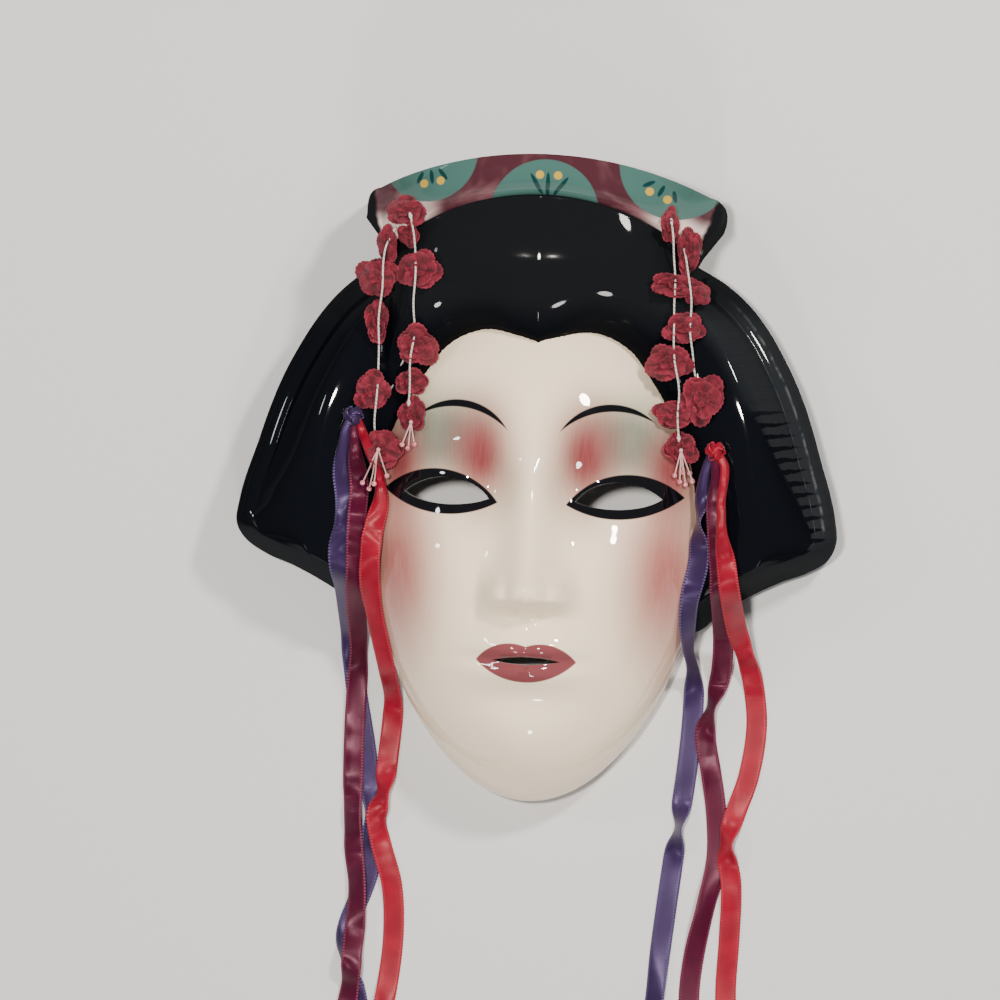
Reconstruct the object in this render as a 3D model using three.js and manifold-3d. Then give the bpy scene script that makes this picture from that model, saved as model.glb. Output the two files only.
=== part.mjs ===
import * as THREE from 'three';
import { mergeVertices } from 'three/addons/utils/BufferGeometryUtils.js';
import Module from 'manifold-3d';

// A glazed ceramic wall mask in the style of a geisha, with ribbons and strings of cloth flowers.
// It lies on its back, face up. Millimetres: +Z points up out of the face, +Y to the crown and
// +X to the viewer's right. The origin is the middle of the back rim's plane.

const wasm = await Module();
wasm.setup();

// Driving dimensions of the casting
const WALL = 4.5;
const HEAD_Y = 20;          // the hair's spokes spread from this point on the middle line
const HIDDEN = 9;           // height of a form where another form covers it
const EYE_LINE = -6;
const EYE_OUT = 30;
const NOSE_BASE = -45;
const MOUTH_LINE = -63;
const CHIN_LINE = -92;

// The face: an egg outline around FACE_Y, and a dome that rises from its edge
const FACE_Y = -20;
const FACE_UP = 100;
const FACE_DOWN = 93;
const JAW_HALF = 58;
const TEMPLE_HALF = 63;
const CHIN_TAPER = 0.1;
const FACE_EDGE = 13;
const FACE_RISE = 45;
const FACE_FULL = 2.8;
const FACE_TURN = 0.6;
const FACE_CROWD = 0.4;     // how much closer the face's spokes stand below its middle

// The hair seen from the front, right half, from the jaw over the wing tip to under the roll
const HAIR_OUTLINE = [
  [0, -40], [32, -46], [55, -52], [66, -44], [76, -38], [86, -33], [95, -29.5], [102, -25],
  [105, -18.5], [104.2, -10], [98, 12], [87.5, 40], [72.5, 63], [64, 70.5], [50, 78], [0, 84],
];
const HAIRLINE = [
  [0, -38], [30, -44], [54.5, -51], [56, -45], [57, -16], [53.3, 9.6], [48.6, 21], [40.5, 35],
  [31, 47], [19, 52], [8, 50.4], [0, 48],
];
const CREASE = [
  [0, -60], [30, -60], [57, -53], [76, -40], [79, -20], [77, 0], [74, 20], [66, 42], [56, 60],
  [44, 74], [0, 80],
];
const HAIR_PROUD = 4;       // the hair stands this far above the face at the hairline
const HAIR_EDGE = 7;        // width of the turned-down edge
const WING_FOOT = 9;        // height of the wing's underside where it meets the back
const JAW_ANGLE = 37;       // where the wing meets the jaw, in degrees from straight down
const TIP_ANGLE = 67;       // where the wing's underside ends

// Heights along the hair, by the angle in degrees from straight down: on the soft crease between
// the inner and the outer panel, and where the edge begins to turn down
const HAIR_HEIGHTS = [
  [37, 22, 20], [43, 31, 30], [50, 38, 37], [58, 43, 39], [66, 45, 36], [80, 46, 32],
  [100, 46, 31], [120, 43, 29], [135, 41, 27], [180, 38, 27],
];

// The front roll of hair under the headpiece: its outline, then its crest's and edge's height
const ROLL_OUTLINE = [
  [0, -20], [40, 0], [56, 20], [57, 45], [54, 65], [53.5, 75], [40.3, 90.6], [20, 98.4], [0, 101],
];
const ROLL_ANGLE = 84;      // the roll begins here, in degrees from straight down
const ROLL_HEIGHTS = [
  [84, 36, 30], [98, 42, 32], [110, 48, 34], [130, 55, 38], [138, 57, 43], [150, 60, 54],
  [165, 62, 59], [180, 62.5, 60],
];

// The crescent headpiece: two arcs in plan, and its height along both
const BAND_RADIUS = 83.3;
const BAND_TOP_Y = 99;
const CREST_RADIUS = 138;
const CREST_TOP_Y = 113;
const BAND_HALF = 52;
const CREST_HALF = 58;
const BAND_HEIGHT = 63.5;
const CREST_HEIGHT = 39;
const BAND_FALL = 8;
const CREST_FALL = 6;
const CROWN_END = 7;        // how far the rounded ends reach past the arcs
const CROWN_INSIDE = 9;     // how far the hollow behind the band opens into the roll's hollow

// Openings in the casting
const EYE_HALF = 15;
const EYE_UP = 7.5;
const EYE_LOW = 3.6;
const SLIT_HALF = 12;
const SLIT_TALL = 2.6;
const KNOT_HOLE = 2;
const STRING_HOLE = 1;
const KNOTS = { left: [-63.6, 20], right: [62.8, 12] };
const STRING_TOPS = { left: [-46.5, 93], right: [46, 93] };

// The trim
const GAP = 0.4;
const KNOT = { wide: 5.2, tall: 4.2, stem: 1.6, through: 9 };
const RIBBON_WIDTH = 7.5;
const RIBBON_THICK = 0.6;
const RIBBON_STEPS = 27;
const RIBBON_DRAPE = 1.3;   // a ribbon comes down no steeper than this slope
const RIBBON_BANK = 0.5;    // and leans no more than this across its width
const STRING_WIDE = 0.9;
const STRING_STEPS = 12;
const STRING_DRAPE = 0.45;
const SUB_STEPS = 4;        // places looked at along each step of a ribbon or thread
const FLOWER_SIDES = 12;
const FLOWER_THICK = 1.4;
const FLOWER_RUFFLE = 0.7;
const FLOWER_DOME = 1.6;
const FLOWER_LEAN = 0.45;
const BEAD = 1.1;
const FILAMENT = 0.35;

// Routes of the ribbons from knot to cut end, chosen by hand, in the order in which they lie
const RIBBONS = {
  left: {
    purple: [
      [-66.3, 14], [-66.8, 0], [-65.5, -13], [-67.6, -25], [-66.6, -38], [-65.3, -58],
      [-62.8, -76], [-58.9, -96], [-57.3, -106], [-55.4, -117], [-55.3, -126], [-56.3, -141],
      [-64, -166], [-59.5, -182], [-56, -205], [-60, -228], [-66, -248],
    ],
    burgundy: [
      [-63.2, 13.8], [-61.6, 4], [-61, -3], [-61.4, -26], [-61.9, -48], [-62, -63],
      [-62.9, -88], [-62.7, -113], [-61.7, -132], [-59.9, -146], [-60.2, -163], [-61.4, -183],
      [-66, -207], [-70, -230], [-69, -248],
    ],
    red: [
      [-60.4, 14.6], [-56.5, 6], [-54.2, -0.5], [-53.4, -10], [-55.9, -23], [-56.6, -38],
      [-54.9, -51], [-51.1, -68], [-49.5, -80], [-50.2, -95], [-52, -113], [-53.7, -121],
      [-52.1, -130], [-47.7, -145], [-46.6, -163], [-48.3, -182], [-52, -206], [-50, -230],
      [-45, -248],
    ],
  },
  right: {
    purple: [
      [59.8, 5.8], [58.2, -3], [57.3, -13], [58.1, -26], [55.1, -42], [55, -57], [56.5, -65],
      [56.5, -81], [55.2, -100], [52.7, -121], [50.7, -139], [49.3, -152], [47.3, -172],
      [45, -205], [45, -230], [48, -248],
    ],
    burgundy: [
      [63.3, 5.5], [63.3, -3], [65.2, -28], [66.6, -49], [66.2, -65], [62.8, -78],
      [61.2, -87], [63.7, -101], [66.1, -116], [66.7, -132], [63.4, -149], [60.1, -165],
      [58.7, -180], [60, -205], [63, -228], [62, -248],
    ],
    red: [
      [66.3, 6.3], [65.5, -6], [66.6, -19], [69, -35], [71.6, -50], [74.4, -59], [77.4, -69],
      [79.2, -84], [77.2, -101], [73.2, -114], [70.3, -123], [69.9, -129], [72.2, -140],
      [72.2, -158], [71.6, -180], [74, -205], [78, -228], [79, -248],
    ],
  },
};

// Cloth flowers on their strings: middle, width and height seen from the front
const FLOWERS = {
  left: [
    [-47.2, 91.5, 15, 11], [-45.9, 83.1, 8, 8], [-53.4, 80.1, 8, 12.4], [-56.9, 68.7, 15, 15],
    [-41.6, 71.4, 16, 14.5], [-56.5, 53.3, 9, 15.4], [-41.7, 45.1, 15, 14],
    [-57.4, 29, 13.5, 13.5], [-43.7, 32.4, 11.5, 9.5], [-43.3, 21.2, 11, 12],
    [-52.3, 9, 12.7, 13.7],
  ],
  right: [
    [45, 89.5, 7, 13], [51.6, 81.3, 9, 16], [47.8, 68.9, 18, 9], [54.9, 66.4, 10, 8],
    [50.8, 54.3, 15, 11], [45.6, 42.2, 16.5, 13.6], [57.6, 30.1, 16, 18],
    [48, 24.5, 14.5, 10.7], [50.9, 12.7, 12, 12],
  ],
};
const STRINGS = {
  left_outer: [[-50.5, 86], [-54.1, 78.6], [-54.7, 64.6], [-55.8, 46.3], [-55.8, 33], [-55.9, 11.7]],
  left_inner: [[-45.5, 91], [-43.1, 74.1], [-43, 50.7], [-44.6, 36.6], [-44.2, 24]],
  right_inner: [[45.1, 92], [46.9, 73.1], [47.7, 59.5], [47.2, 47.6], [49.5, 30.8], [50, 15]],
  right_outer: [[48.5, 86], [51.5, 72.9], [52.9, 63.2], [54, 41.9], [56.5, 32]],
};
// Bundles of stamens: where the threads meet, then each bead
const STAMENS = {
  left_inner: [[-43.6, 13.6], [-44.8, 8.6], [-41.6, 8], [-39.6, 10.5]],
  left_outer: [[-55, 0.8], [-60, -4], [-57.4, -6], [-51.6, -3]],
  right: [[51.6, 5], [52.6, 0.5], [49, 1], [55.6, 1.6]],
};

// Materials
const CERAMIC = { color: 0xe9e4dc, roughness: 0.12, metalness: 0 };
const CLOTH = { color: 0xb01532, roughness: 0.85, metalness: 0 };
const THREAD = { color: 0xe8e4e0, roughness: 0.7, metalness: 0 };
const PEARL = { color: 0xe7a3ab, roughness: 0.25, metalness: 0 };
const SATIN = { purple: 0x35306e, burgundy: 0x6d0d2c, red: 0xb30c20 };
const satin = (colour) => ({ color: SATIN[colour], roughness: 0.35, metalness: 0 });

const { clamp, degToRad, lerp, radToDeg, smoothstep } = THREE.MathUtils;
const DOWN = new THREE.Vector3(0, 0, -1);

// Smooth curve through stations of [key, value, value, ...], read at one key and one column
function through(stations, key, column = 1) {
  const last = stations.length - 1;
  let i = 0;
  while (i < last - 1 && key > stations[i + 1][0]) i += 1;
  const slope = (k) => {
    const before = stations[Math.max(k - 1, 0)];
    const after = stations[Math.min(k + 1, last)];
    return (after[column] - before[column]) / (after[0] - before[0]);
  };
  const span = stations[i + 1][0] - stations[i][0];
  const t = clamp((key - stations[i][0]) / span, 0, 1);
  return (2 * t ** 3 - 3 * t ** 2 + 1) * stations[i][column]
    + (t ** 3 - 2 * t ** 2 + t) * span * slope(i)
    + (3 * t ** 2 - 2 * t ** 3) * stations[i + 1][column]
    + (t ** 3 - t ** 2) * span * slope(i + 1);
}

// Points of an outline as [angle from straight down, distance] stations around the head's middle
function spokesThrough(points) {
  return points.map(([x, y]) => [radToDeg(Math.atan2(x, HEAD_Y - y)), Math.hypot(x, y - HEAD_Y)]);
}

// Manifold of merged points and triangles, with its faces turned outwards
function solidFrom(points, index) {
  let geometry = new THREE.BufferGeometry().setFromPoints(points);
  geometry.setIndex(index);
  geometry = mergeVertices(geometry, 1e-4);
  const vertProperties = geometry.getAttribute('position').array;
  const corner = (k) => new THREE.Vector3().fromArray(vertProperties, 3 * k);
  const triangles = [];
  let volume = 0;
  for (let k = 0; k < geometry.index.count; k += 3) {
    const [a, b, c] = geometry.index.array.subarray(k, k + 3);
    if (a !== b && b !== c && c !== a) {
      triangles.push([a, b, c]);
      volume += corner(a).dot(corner(b).cross(corner(c)));
    }
  }
  const triVerts = Uint32Array.from(triangles.flatMap((t) => (volume < 0 ? t.reverse() : t)));
  return new wasm.Manifold(new wasm.Mesh({ numProp: 3, vertProperties, triVerts }));
}

// Closed skin over rings with the same number of points; the end rings close on their middle
function skin(rings) {
  const sides = rings[0].length;
  const middle = (ring) => ring.reduce((sum, p) => sum.add(p), new THREE.Vector3()).divideScalar(sides);
  const points = [...rings.flat(), middle(rings[0]), middle(rings.at(-1))];
  const end = (rings.length - 1) * sides;
  const index = [];
  for (let i = 0; i < sides; i += 1) {
    const next = (i + 1) % sides;
    for (let k = 0; k < end; k += sides) {
      index.push(k + i, k + i + sides, k + next, k + next, k + i + sides, k + next + sides);
    }
    index.push(points.length - 2, i, next, points.length - 1, end + next, end + i);
  }
  return solidFrom(points, index);
}

// Solid of a three.js geometry
function solidOf(geometry) {
  geometry.deleteAttribute('normal');
  geometry.deleteAttribute('uv');
  const merged = mergeVertices(geometry, 1e-4);
  const position = merged.getAttribute('position');
  const points = Array.from({ length: position.count }, (_, k) => (
    new THREE.Vector3().fromBufferAttribute(position, k)));
  return solidFrom(points, Array.from(merged.index.array));
}

function meshOf(name, solid, look) {
  const { vertProperties, triVerts } = solid.getMesh();
  const geometry = new THREE.BufferGeometry();
  geometry.setAttribute('position', new THREE.BufferAttribute(vertProperties, 3));
  geometry.setIndex(new THREE.BufferAttribute(triVerts, 1));
  geometry.computeVertexNormals();
  const mesh = new THREE.Mesh(geometry, new THREE.MeshStandardMaterial(look));
  mesh.name = name;
  return mesh;
}

// Face

// Half of the face's width at a height, without the round of the egg
function faceHalf(y) {
  const below = Math.max(FACE_Y - y, 0) / FACE_DOWN;
  return lerp(JAW_HALF, TEMPLE_HALF, smoothstep(y, -62, -25)) * (1 - CHIN_TAPER * below ** 2);
}

function faceDome(share) {
  return FACE_EDGE + FACE_RISE * (1 - Math.min(share, 1) ** FACE_FULL) ** FACE_TURN;
}

// Height of the bare dome over a place
function domeOver(x, y) {
  return faceDome(Math.hypot(x / faceHalf(y), (y - FACE_Y) / (y < FACE_Y ? FACE_DOWN : FACE_UP)));
}

// A rounded bump of height 1 at a place, the same on both sides of the middle line
function bump(x, y, atX, atY, wide, tall) {
  return Math.exp(-0.5 * (((Math.abs(x) - atX) / wide) ** 2 + ((y - atY) / tall) ** 2));
}

function noseRise(x, y) {
  const down = clamp((8 - y) / 46, 0, 1);
  const bridge = (3.2 * (1 - smoothstep(y, 0, 16)) + 11.5 * down ** 1.2)
    * Math.exp(-0.5 * (x / (5 + 2.4 * down)) ** 2);
  const tip = 2.2 * bump(x, y, 0, NOSE_BASE + 7, 6.5, 5);
  const wings = 5 * bump(x, y, 11, NOSE_BASE + 4.5, 4.2, 4.6);
  return (bridge + tip + wings) * smoothstep(y, NOSE_BASE - 4.5, NOSE_BASE + 4.5);
}

function faceRise(x, y) {
  return 2 * bump(x, y, 0, 30, 30, 18)
    + 1.6 * bump(x, y, 26, 10, 15, 5)
    + 4.4 * bump(x, y, EYE_OUT, EYE_LINE + 1, 10, 6)
    + 3 * bump(x, y, 33, -27, 14, 12)
    + 3.6 * bump(x, y, 0, MOUTH_LINE + 1, 20, 13)
    + 2.8 * bump(x, y, 6, MOUTH_LINE + 3.6, 7, 2.4)
    + 3.2 * bump(x, y, 0, MOUTH_LINE - 4.2, 11, 2.9)
    + 4 * bump(x, y, 0, CHIN_LINE, 12, 9)
    + noseRise(x, y);
}

function faceFall(x, y) {
  return 6 * bump(x, y, 27, EYE_LINE + 2, 15, 9)
    + 2.6 * bump(x, y, 13.5, EYE_LINE + 2, 5, 8)
    + 2.4 * Math.exp(-0.5 * ((x / 17) ** 4 + ((y - MOUTH_LINE) / 1.5) ** 2))
    + 1.8 * bump(x, y, 0, -77, 13, 3.6)
    + 0.9 * bump(x, y, 0, -53, 2.2, 4);
}

// The face's form: rings at shares of the egg. Its hollow keeps half of what rises on the face.
function faceForm(inset) {
  const shares = inset
    ? [0.2, 0.4, 0.6, 0.76, 0.9, 0.97, 1]
    : [0.06, 0.12, 0.17, 0.21, 0.24, 0.27, 0.3, 0.34, 0.39, 0.43, 0.46, 0.49, 0.52, 0.57,
      0.65, 0.73, 0.81, 0.88, 0.94, 0.98, 1];
  const spokes = inset ? 26 : 48;
  const rise = inset ? 0.5 : 1;
  const rings = shares.map((share) => Array.from({ length: spokes }, (_, i) => {
    const swing = (2 * Math.PI * i) / spokes;
    const turn = swing - FACE_CROWD * Math.sin(swing) - Math.PI / 2;
    const along = share * Math.sin(turn);
    const y = FACE_Y + along * ((along < 0 ? FACE_DOWN : FACE_UP) - inset);
    const x = share * Math.cos(turn) * (faceHalf(y) - inset);
    const fade = 1 - smoothstep(share, 0.88, 1);
    const relief = fade * (rise * faceRise(x, y) - faceFall(x, y));
    return new THREE.Vector3(x, y, faceDome(share) - inset + relief);
  }));
  rings.push(rings.at(-1).map((p) => new THREE.Vector3(p.x, p.y, -Math.sign(inset))));
  return skin(rings);
}

// Hair

const hairEdge = spokesThrough(HAIR_OUTLINE);
const hairLine = spokesThrough(HAIRLINE);
const hairCrease = spokesThrough(CREASE);
const rollEdge = spokesThrough(ROLL_OUTLINE);

// Closed form from sections of [distance, height] on spokes around the head's middle
function aroundHead(section, count) {
  const turns = Array.from({ length: count }, (_, i) => -180 + (360 * (i + 0.5)) / count);
  const sections = turns.map((turn) => section(Math.abs(turn)));
  const rings = sections[0].map((_, k) => turns.map((turn, i) => {
    const [distance, height] = sections[i][k];
    const angle = degToRad(turn);
    return new THREE.Vector3(distance * Math.sin(angle), HEAD_Y - distance * Math.cos(angle), height);
  }));
  return skin(rings);
}

// How squarely a spoke meets an outline, 1 where it stands at a right angle to it
function squareness(stations, angle) {
  const change = (through(stations, angle + 1) - through(stations, angle - 1)) / degToRad(2);
  return Math.max(0.6, Math.cos(Math.atan(change / through(stations, angle))));
}

// The step from the face up to the hair, within the form and no higher than a limit. The hollow
// keeps the wall on both sides of the step.
function hairStep(angle, reach, limit, inset) {
  const turn = degToRad(angle);
  const line = through(hairLine, angle);
  const face = domeOver(line * Math.sin(turn), HEAD_Y - line * Math.cos(turn));
  const distance = Math.min(line, reach - inset - 1);
  const start = Math.min(face + HAIR_PROUD, limit) - inset;
  return inset
    ? [[distance - WALL, Math.max(start - HAIR_PROUD - 0.6 * inset, 2)], [distance + inset, start]]
    : [[distance, HIDDEN], [distance, start]];
}

// The hair wings: up from the hairline to a soft crease, down to a turned edge, and a wall.
// Below the wings the form stays hidden inside the face.
function hairSection(angle, inset) {
  const square = squareness(hairEdge, angle);
  const outer = through(hairEdge, angle) - inset / square;
  const rim = HAIR_EDGE - inset;
  const turn = outer - rim / square;
  const [crease, end] = [1, 2].map((column) => (
    through(HAIR_HEIGHTS, Math.max(angle, JAW_ANGLE), column) - inset));
  const step = hairStep(angle, turn, crease + inset, inset);
  const inner = step[1][0];
  const peak = clamp(through(hairCrease, angle), inner + 0.5, turn - 0.3);
  const foot = WING_FOOT - inset / 2;
  const bottom = (1 - smoothstep(angle, TIP_ANGLE - 3, TIP_ANGLE + 4)) * smoothstep(angle, 38, 42);
  const edge = (share) => {
    const round = end - rim * (1 - Math.sqrt(1 - (1 - share) ** 2));
    return lerp(round, lerp(foot, end, share ** 0.8), bottom);
  };
  const points = [
    ...step,
    ...(inset ? [] : [[lerp(inner, peak, 0.5), lerp(step[1][1], crease, 0.62)]]),
    [peak, crease],
    ...(inset ? [] : [[lerp(peak, turn, 0.55), lerp(crease, end, 0.48)]]),
    [turn, end],
    ...(inset ? [0] : [0.6, 0.25, 0]).map((share) => [lerp(outer, turn, share), edge(share)]),
    [outer, -Math.sign(inset)],
  ];
  const shown = smoothstep(angle, JAW_ANGLE - 2, JAW_ANGLE + 1);
  return points.map(([distance, height], k) => (
    [distance, k === points.length - 1 ? height : lerp(Math.min(height, HIDDEN - inset), height, shown)]));
}

// The front roll: a full crest between hairline and headpiece, dipping under the wings at its sides
function rollSection(angle, inset) {
  const outer = through(rollEdge, angle) - inset / squareness(rollEdge, angle);
  const [crest, end] = [1, 2].map((column) => (
    through(ROLL_HEIGHTS, Math.max(angle, ROLL_ANGLE), column) - inset));
  const step = hairStep(angle, outer, crest + inset, inset);
  const inner = step[1][0];
  const start = step[1][1];
  const over = inset ? [[0.55, 0]] : [[0.55, 0], [0.8, 0.3], [0.94, 0.72]];
  const points = [
    ...step,
    ...(inset ? [] : [[lerp(inner, outer, 0.2), lerp(start, crest, 0.5)]]),
    ...over.map(([share, fall]) => [lerp(inner, outer, share), lerp(crest, end, fall)]),
    [outer, end],
    [outer, -Math.sign(inset)],
  ];
  const shown = smoothstep(angle, ROLL_ANGLE - 3, ROLL_ANGLE + 3);
  return points.map(([distance, height], k) => (
    [distance, k === points.length - 1 ? height : lerp(Math.min(height, HIDDEN - inset), height, shown)]));
}

// The headpiece: a section swept from end to end, with the band sloping back to the crest.
// Past the arcs the section closes on its middle in a quarter round.
function crownForm(inset) {
  const ends = inset ? [40, 80] : [24, 46, 67, 86];
  const across = inset ? 6 : 14;
  const stations = [
    ...ends.map((turn) => [-1, turn]).reverse(),
    ...Array.from({ length: across + 1 }, (_, i) => [-Math.cos((Math.PI * i) / across), 0]),
    ...ends.map((turn) => [1, turn]),
  ];
  const rings = stations.map(([share, turn]) => {
    const close = Math.cos(degToRad(turn));
    const past = share * (CROWN_END - inset / 2) * Math.sin(degToRad(turn));
    const bandX = share * (BAND_HALF - inset / 2);
    const bandY = BAND_TOP_Y - BAND_RADIUS + Math.sqrt(BAND_RADIUS ** 2 - bandX ** 2);
    const crestX = share * (CREST_HALF - inset / 2);
    const crestY = CREST_TOP_Y - inset - CREST_RADIUS + Math.sqrt(CREST_RADIUS ** 2 - crestX ** 2);
    const bandZ = BAND_HEIGHT - 1.3 * inset - BAND_FALL * share ** 2 - 8 * (1 - close);
    const crestZ = CREST_HEIGHT - inset - CREST_FALL * share ** 2 - 3 * (1 - close);
    const front = inset ? CROWN_INSIDE * (1 - share ** 4) - inset * share ** 4 : 0;
    const place = (over, height) => {
      const to = lerp(0.5, over, close);
      const y = lerp(bandY - front * (1 - over), crestY, to);
      return new THREE.Vector3(lerp(bandX, crestX, to) + past, y, height);
    };
    const upper = inset
      ? [place(0, bandZ - 3), place(0.3, bandZ - 3), place(1, crestZ)]
      : [place(0, bandZ - 2), place(0.05, bandZ - 0.4), place(0.14, bandZ),
        place(0.55, lerp(bandZ, crestZ, 0.42)), place(0.9, lerp(bandZ, crestZ, 0.87)),
        place(0.98, lerp(bandZ, crestZ, 0.99)), place(1, crestZ - 2.4)];
    return [place(0, -Math.sign(inset)), ...upper, place(1, -Math.sign(inset))];
  });
  return skin(rings);
}

// All forms of the head as one solid; with an inset they are the hollow behind the wall
function headForm(inset) {
  const hair = aroundHead((angle) => hairSection(angle, inset), inset ? 28 : 66);
  const roll = aroundHead((angle) => rollSection(angle, inset), inset ? 22 : 44);
  return faceForm(inset).add(hair).add(roll).add(crownForm(inset));
}

// Cuts through the wall

function drilled([x, y], radius) {
  const drill = new THREE.CylinderGeometry(radius, radius, 200, 8);
  drill.rotateX(Math.PI / 2);
  drill.translate(x, y, 50);
  return solidOf(drill);
}

function cutShape(shape) {
  const cut = new THREE.ExtrudeGeometry(shape, { depth: 200, bevelEnabled: false, curveSegments: 7 });
  cut.translate(0, 0, -50);
  return solidOf(cut);
}

// Almond opening with its outer corner a little higher
function eyeCut(side) {
  const shape = new THREE.Shape();
  const at = (along, up) => [side * (EYE_OUT + along), EYE_LINE + up];
  shape.moveTo(...at(-EYE_HALF, -1.2));
  shape.bezierCurveTo(...at(-9, EYE_UP), ...at(6, EYE_UP + 1), ...at(EYE_HALF, 0.6));
  shape.bezierCurveTo(...at(8, -EYE_LOW - 1), ...at(-7, -EYE_LOW - 1), ...at(-EYE_HALF, -1.2));
  return cutShape(shape);
}

function mouthCut() {
  const shape = new THREE.Shape();
  shape.moveTo(-SLIT_HALF, MOUTH_LINE);
  shape.quadraticCurveTo(0, MOUTH_LINE + SLIT_TALL, SLIT_HALF, MOUTH_LINE);
  shape.quadraticCurveTo(0, MOUTH_LINE - SLIT_TALL, -SLIT_HALF, MOUTH_LINE);
  return cutShape(shape);
}

function maskShell() {
  const holes = [
    eyeCut(-1), eyeCut(1), mouthCut(),
    ...Object.values(KNOTS).map((place) => drilled(place, KNOT_HOLE)),
    ...Object.values(STRING_TOPS).map((place) => drilled(place, STRING_HOLE)),
  ];
  return holes.reduce((solid, hole) => solid.subtract(hole), headForm(0).subtract(headForm(WALL)));
}

// Trim: each piece is laid on what is there before it

const mask = new THREE.Group();
const caster = new THREE.Raycaster();

function heightAt(x, y) {
  caster.set(new THREE.Vector3(x, y, 500), DOWN);
  const hits = caster.intersectObjects(mask.children, false);
  return hits.length ? hits[0].point.z : 0;
}

// Heights along a curve, or beside it: what lies there within a step, and coming down no steeper
// than a slope
function drape(curve, steps, aside, slope) {
  const fine = SUB_STEPS * steps;
  const rest = Array.from({ length: fine + 1 }, (_, i) => {
    const place = curve.getPointAt(i / fine);
    const along = curve.getTangentAt(i / fine);
    return heightAt(place.x - aside * along.y, place.y + aside * along.x);
  });
  const fall = (slope * curve.getLength()) / fine;
  const eased = rest.map((_, i) => Math.max(...rest.map((height, j) => height - fall * Math.abs(i - j))));
  return Array.from({ length: steps + 1 }, (_, i) => {
    const middle = SUB_STEPS * i;
    return Math.max(...eased.slice(Math.max(middle - SUB_STEPS, 0), middle + SUB_STEPS + 1));
  });
}

// Ball of ribbon on its hole, with the ribbon's stem through the wall
function addKnot(side, colour) {
  const [x, y] = KNOTS[side];
  const ball = new THREE.SphereGeometry(1, 10, 7);
  ball.rotateX(Math.PI / 2);
  ball.scale(KNOT.wide, KNOT.wide * 0.9, KNOT.tall);
  const around = Array.from({ length: 8 }, (_, k) => degToRad(45 * k));
  const rest = Math.max(...around.map((turn) => (
    heightAt(x + 3.4 * Math.cos(turn), y + 3.4 * Math.sin(turn)))));
  ball.translate(x, y, rest + KNOT.tall - 0.6);
  const stem = new THREE.CylinderGeometry(KNOT.stem, KNOT.stem, KNOT.through + KNOT.tall, 8);
  stem.rotateX(Math.PI / 2);
  stem.translate(x, y, rest + (KNOT.tall - KNOT.through) / 2);
  mask.add(meshOf(`knot_${side}`, solidOf(ball).add(solidOf(stem)), satin(colour)));
}

// Flat ribbon: a thin section that leans with what lies under it
function addRibbon(side, colour) {
  const curve = new THREE.CatmullRomCurve3(RIBBONS[side][colour].map(([x, y]) => new THREE.Vector3(x, y, 0)));
  const places = curve.getSpacedPoints(RIBBON_STEPS);
  const across = places.map((_, i) => {
    const along = curve.getTangentAt(i / RIBBON_STEPS);
    return new THREE.Vector3(-along.y, along.x, 0).multiplyScalar(RIBBON_WIDTH / 2);
  });
  const shares = [-1, -0.5, 0, 0.5, 1];
  const lines = shares.map((share) => (
    drape(curve, RIBBON_STEPS, (share * RIBBON_WIDTH) / 2, RIBBON_DRAPE)));
  const steepest = RIBBON_BANK * (RIBBON_WIDTH / 2);
  const rings = places.map((p, i) => {
    const bank = clamp((lines.at(-1)[i] - lines[0][i]) / 2, -steepest, steepest);
    const rest = GAP + Math.max(...shares.map((share, k) => lines[k][i] - share * bank));
    const corner = (share, up) => (
      p.clone().addScaledVector(across[i], share).setZ(rest + share * bank + up));
    return [corner(-1, 0), corner(1, 0), corner(1, RIBBON_THICK), corner(-1, RIBBON_THICK)];
  });
  mask.add(meshOf(`ribbon_${side}_${colour}`, skin(rings), satin(colour)));
}

// Ruffled disc of cloth, tilted to what it lies on
function addFlower(side, number, [x, y, width, height]) {
  const turns = Array.from({ length: FLOWER_SIDES }, (_, k) => (2 * Math.PI * k) / FLOWER_SIDES);
  const spot = (share, turn) => [share * (width / 2) * Math.cos(turn), share * (height / 2) * Math.sin(turn)];
  const spots = [0.3, 0.6, 0.8, 1].flatMap((share) => turns.map((turn) => spot(share, turn)));
  const found = spots.map(([across, up]) => [across, up, heightAt(x + across, y + up)]);
  const top = Math.max(...found.map((f) => f[2]));
  const rests = found.map(([across, up, z]) => [across, up, Math.max(z, top - 9)]);
  const slope = (k) => rests.reduce((sum, r) => sum + r[k] * r[2], 0)
    / rests.reduce((sum, r) => sum + r[k] ** 2, 0);
  const [slopeX, slopeY] = [0, 1].map((k) => clamp(slope(k), -FLOWER_LEAN, FLOWER_LEAN));
  const tilt = ([across, up]) => slopeX * across + slopeY * up;
  const base = GAP + FLOWER_RUFFLE + Math.max(...found.map((f) => f[2] - tilt(f)));
  const ring = (share, lift, ruffle) => turns.map((turn, k) => {
    const petal = share * (k % 2 ? 1 : 0.88);
    const place = spot(petal, turn);
    const wave = ruffle * (k % 2 ? 1 : -1);
    return new THREE.Vector3(x + place[0], y + place[1], base + tilt(place) + lift + wave);
  });
  const rings = [
    ring(1, 0, FLOWER_RUFFLE), ring(1, FLOWER_THICK, FLOWER_RUFFLE),
    ring(0.45, FLOWER_THICK + FLOWER_DOME, 0),
  ];
  const name = `flower_${side}_${String(number).padStart(2, '0')}`;
  mask.add(meshOf(name, skin(rings), CLOTH));
}

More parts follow.
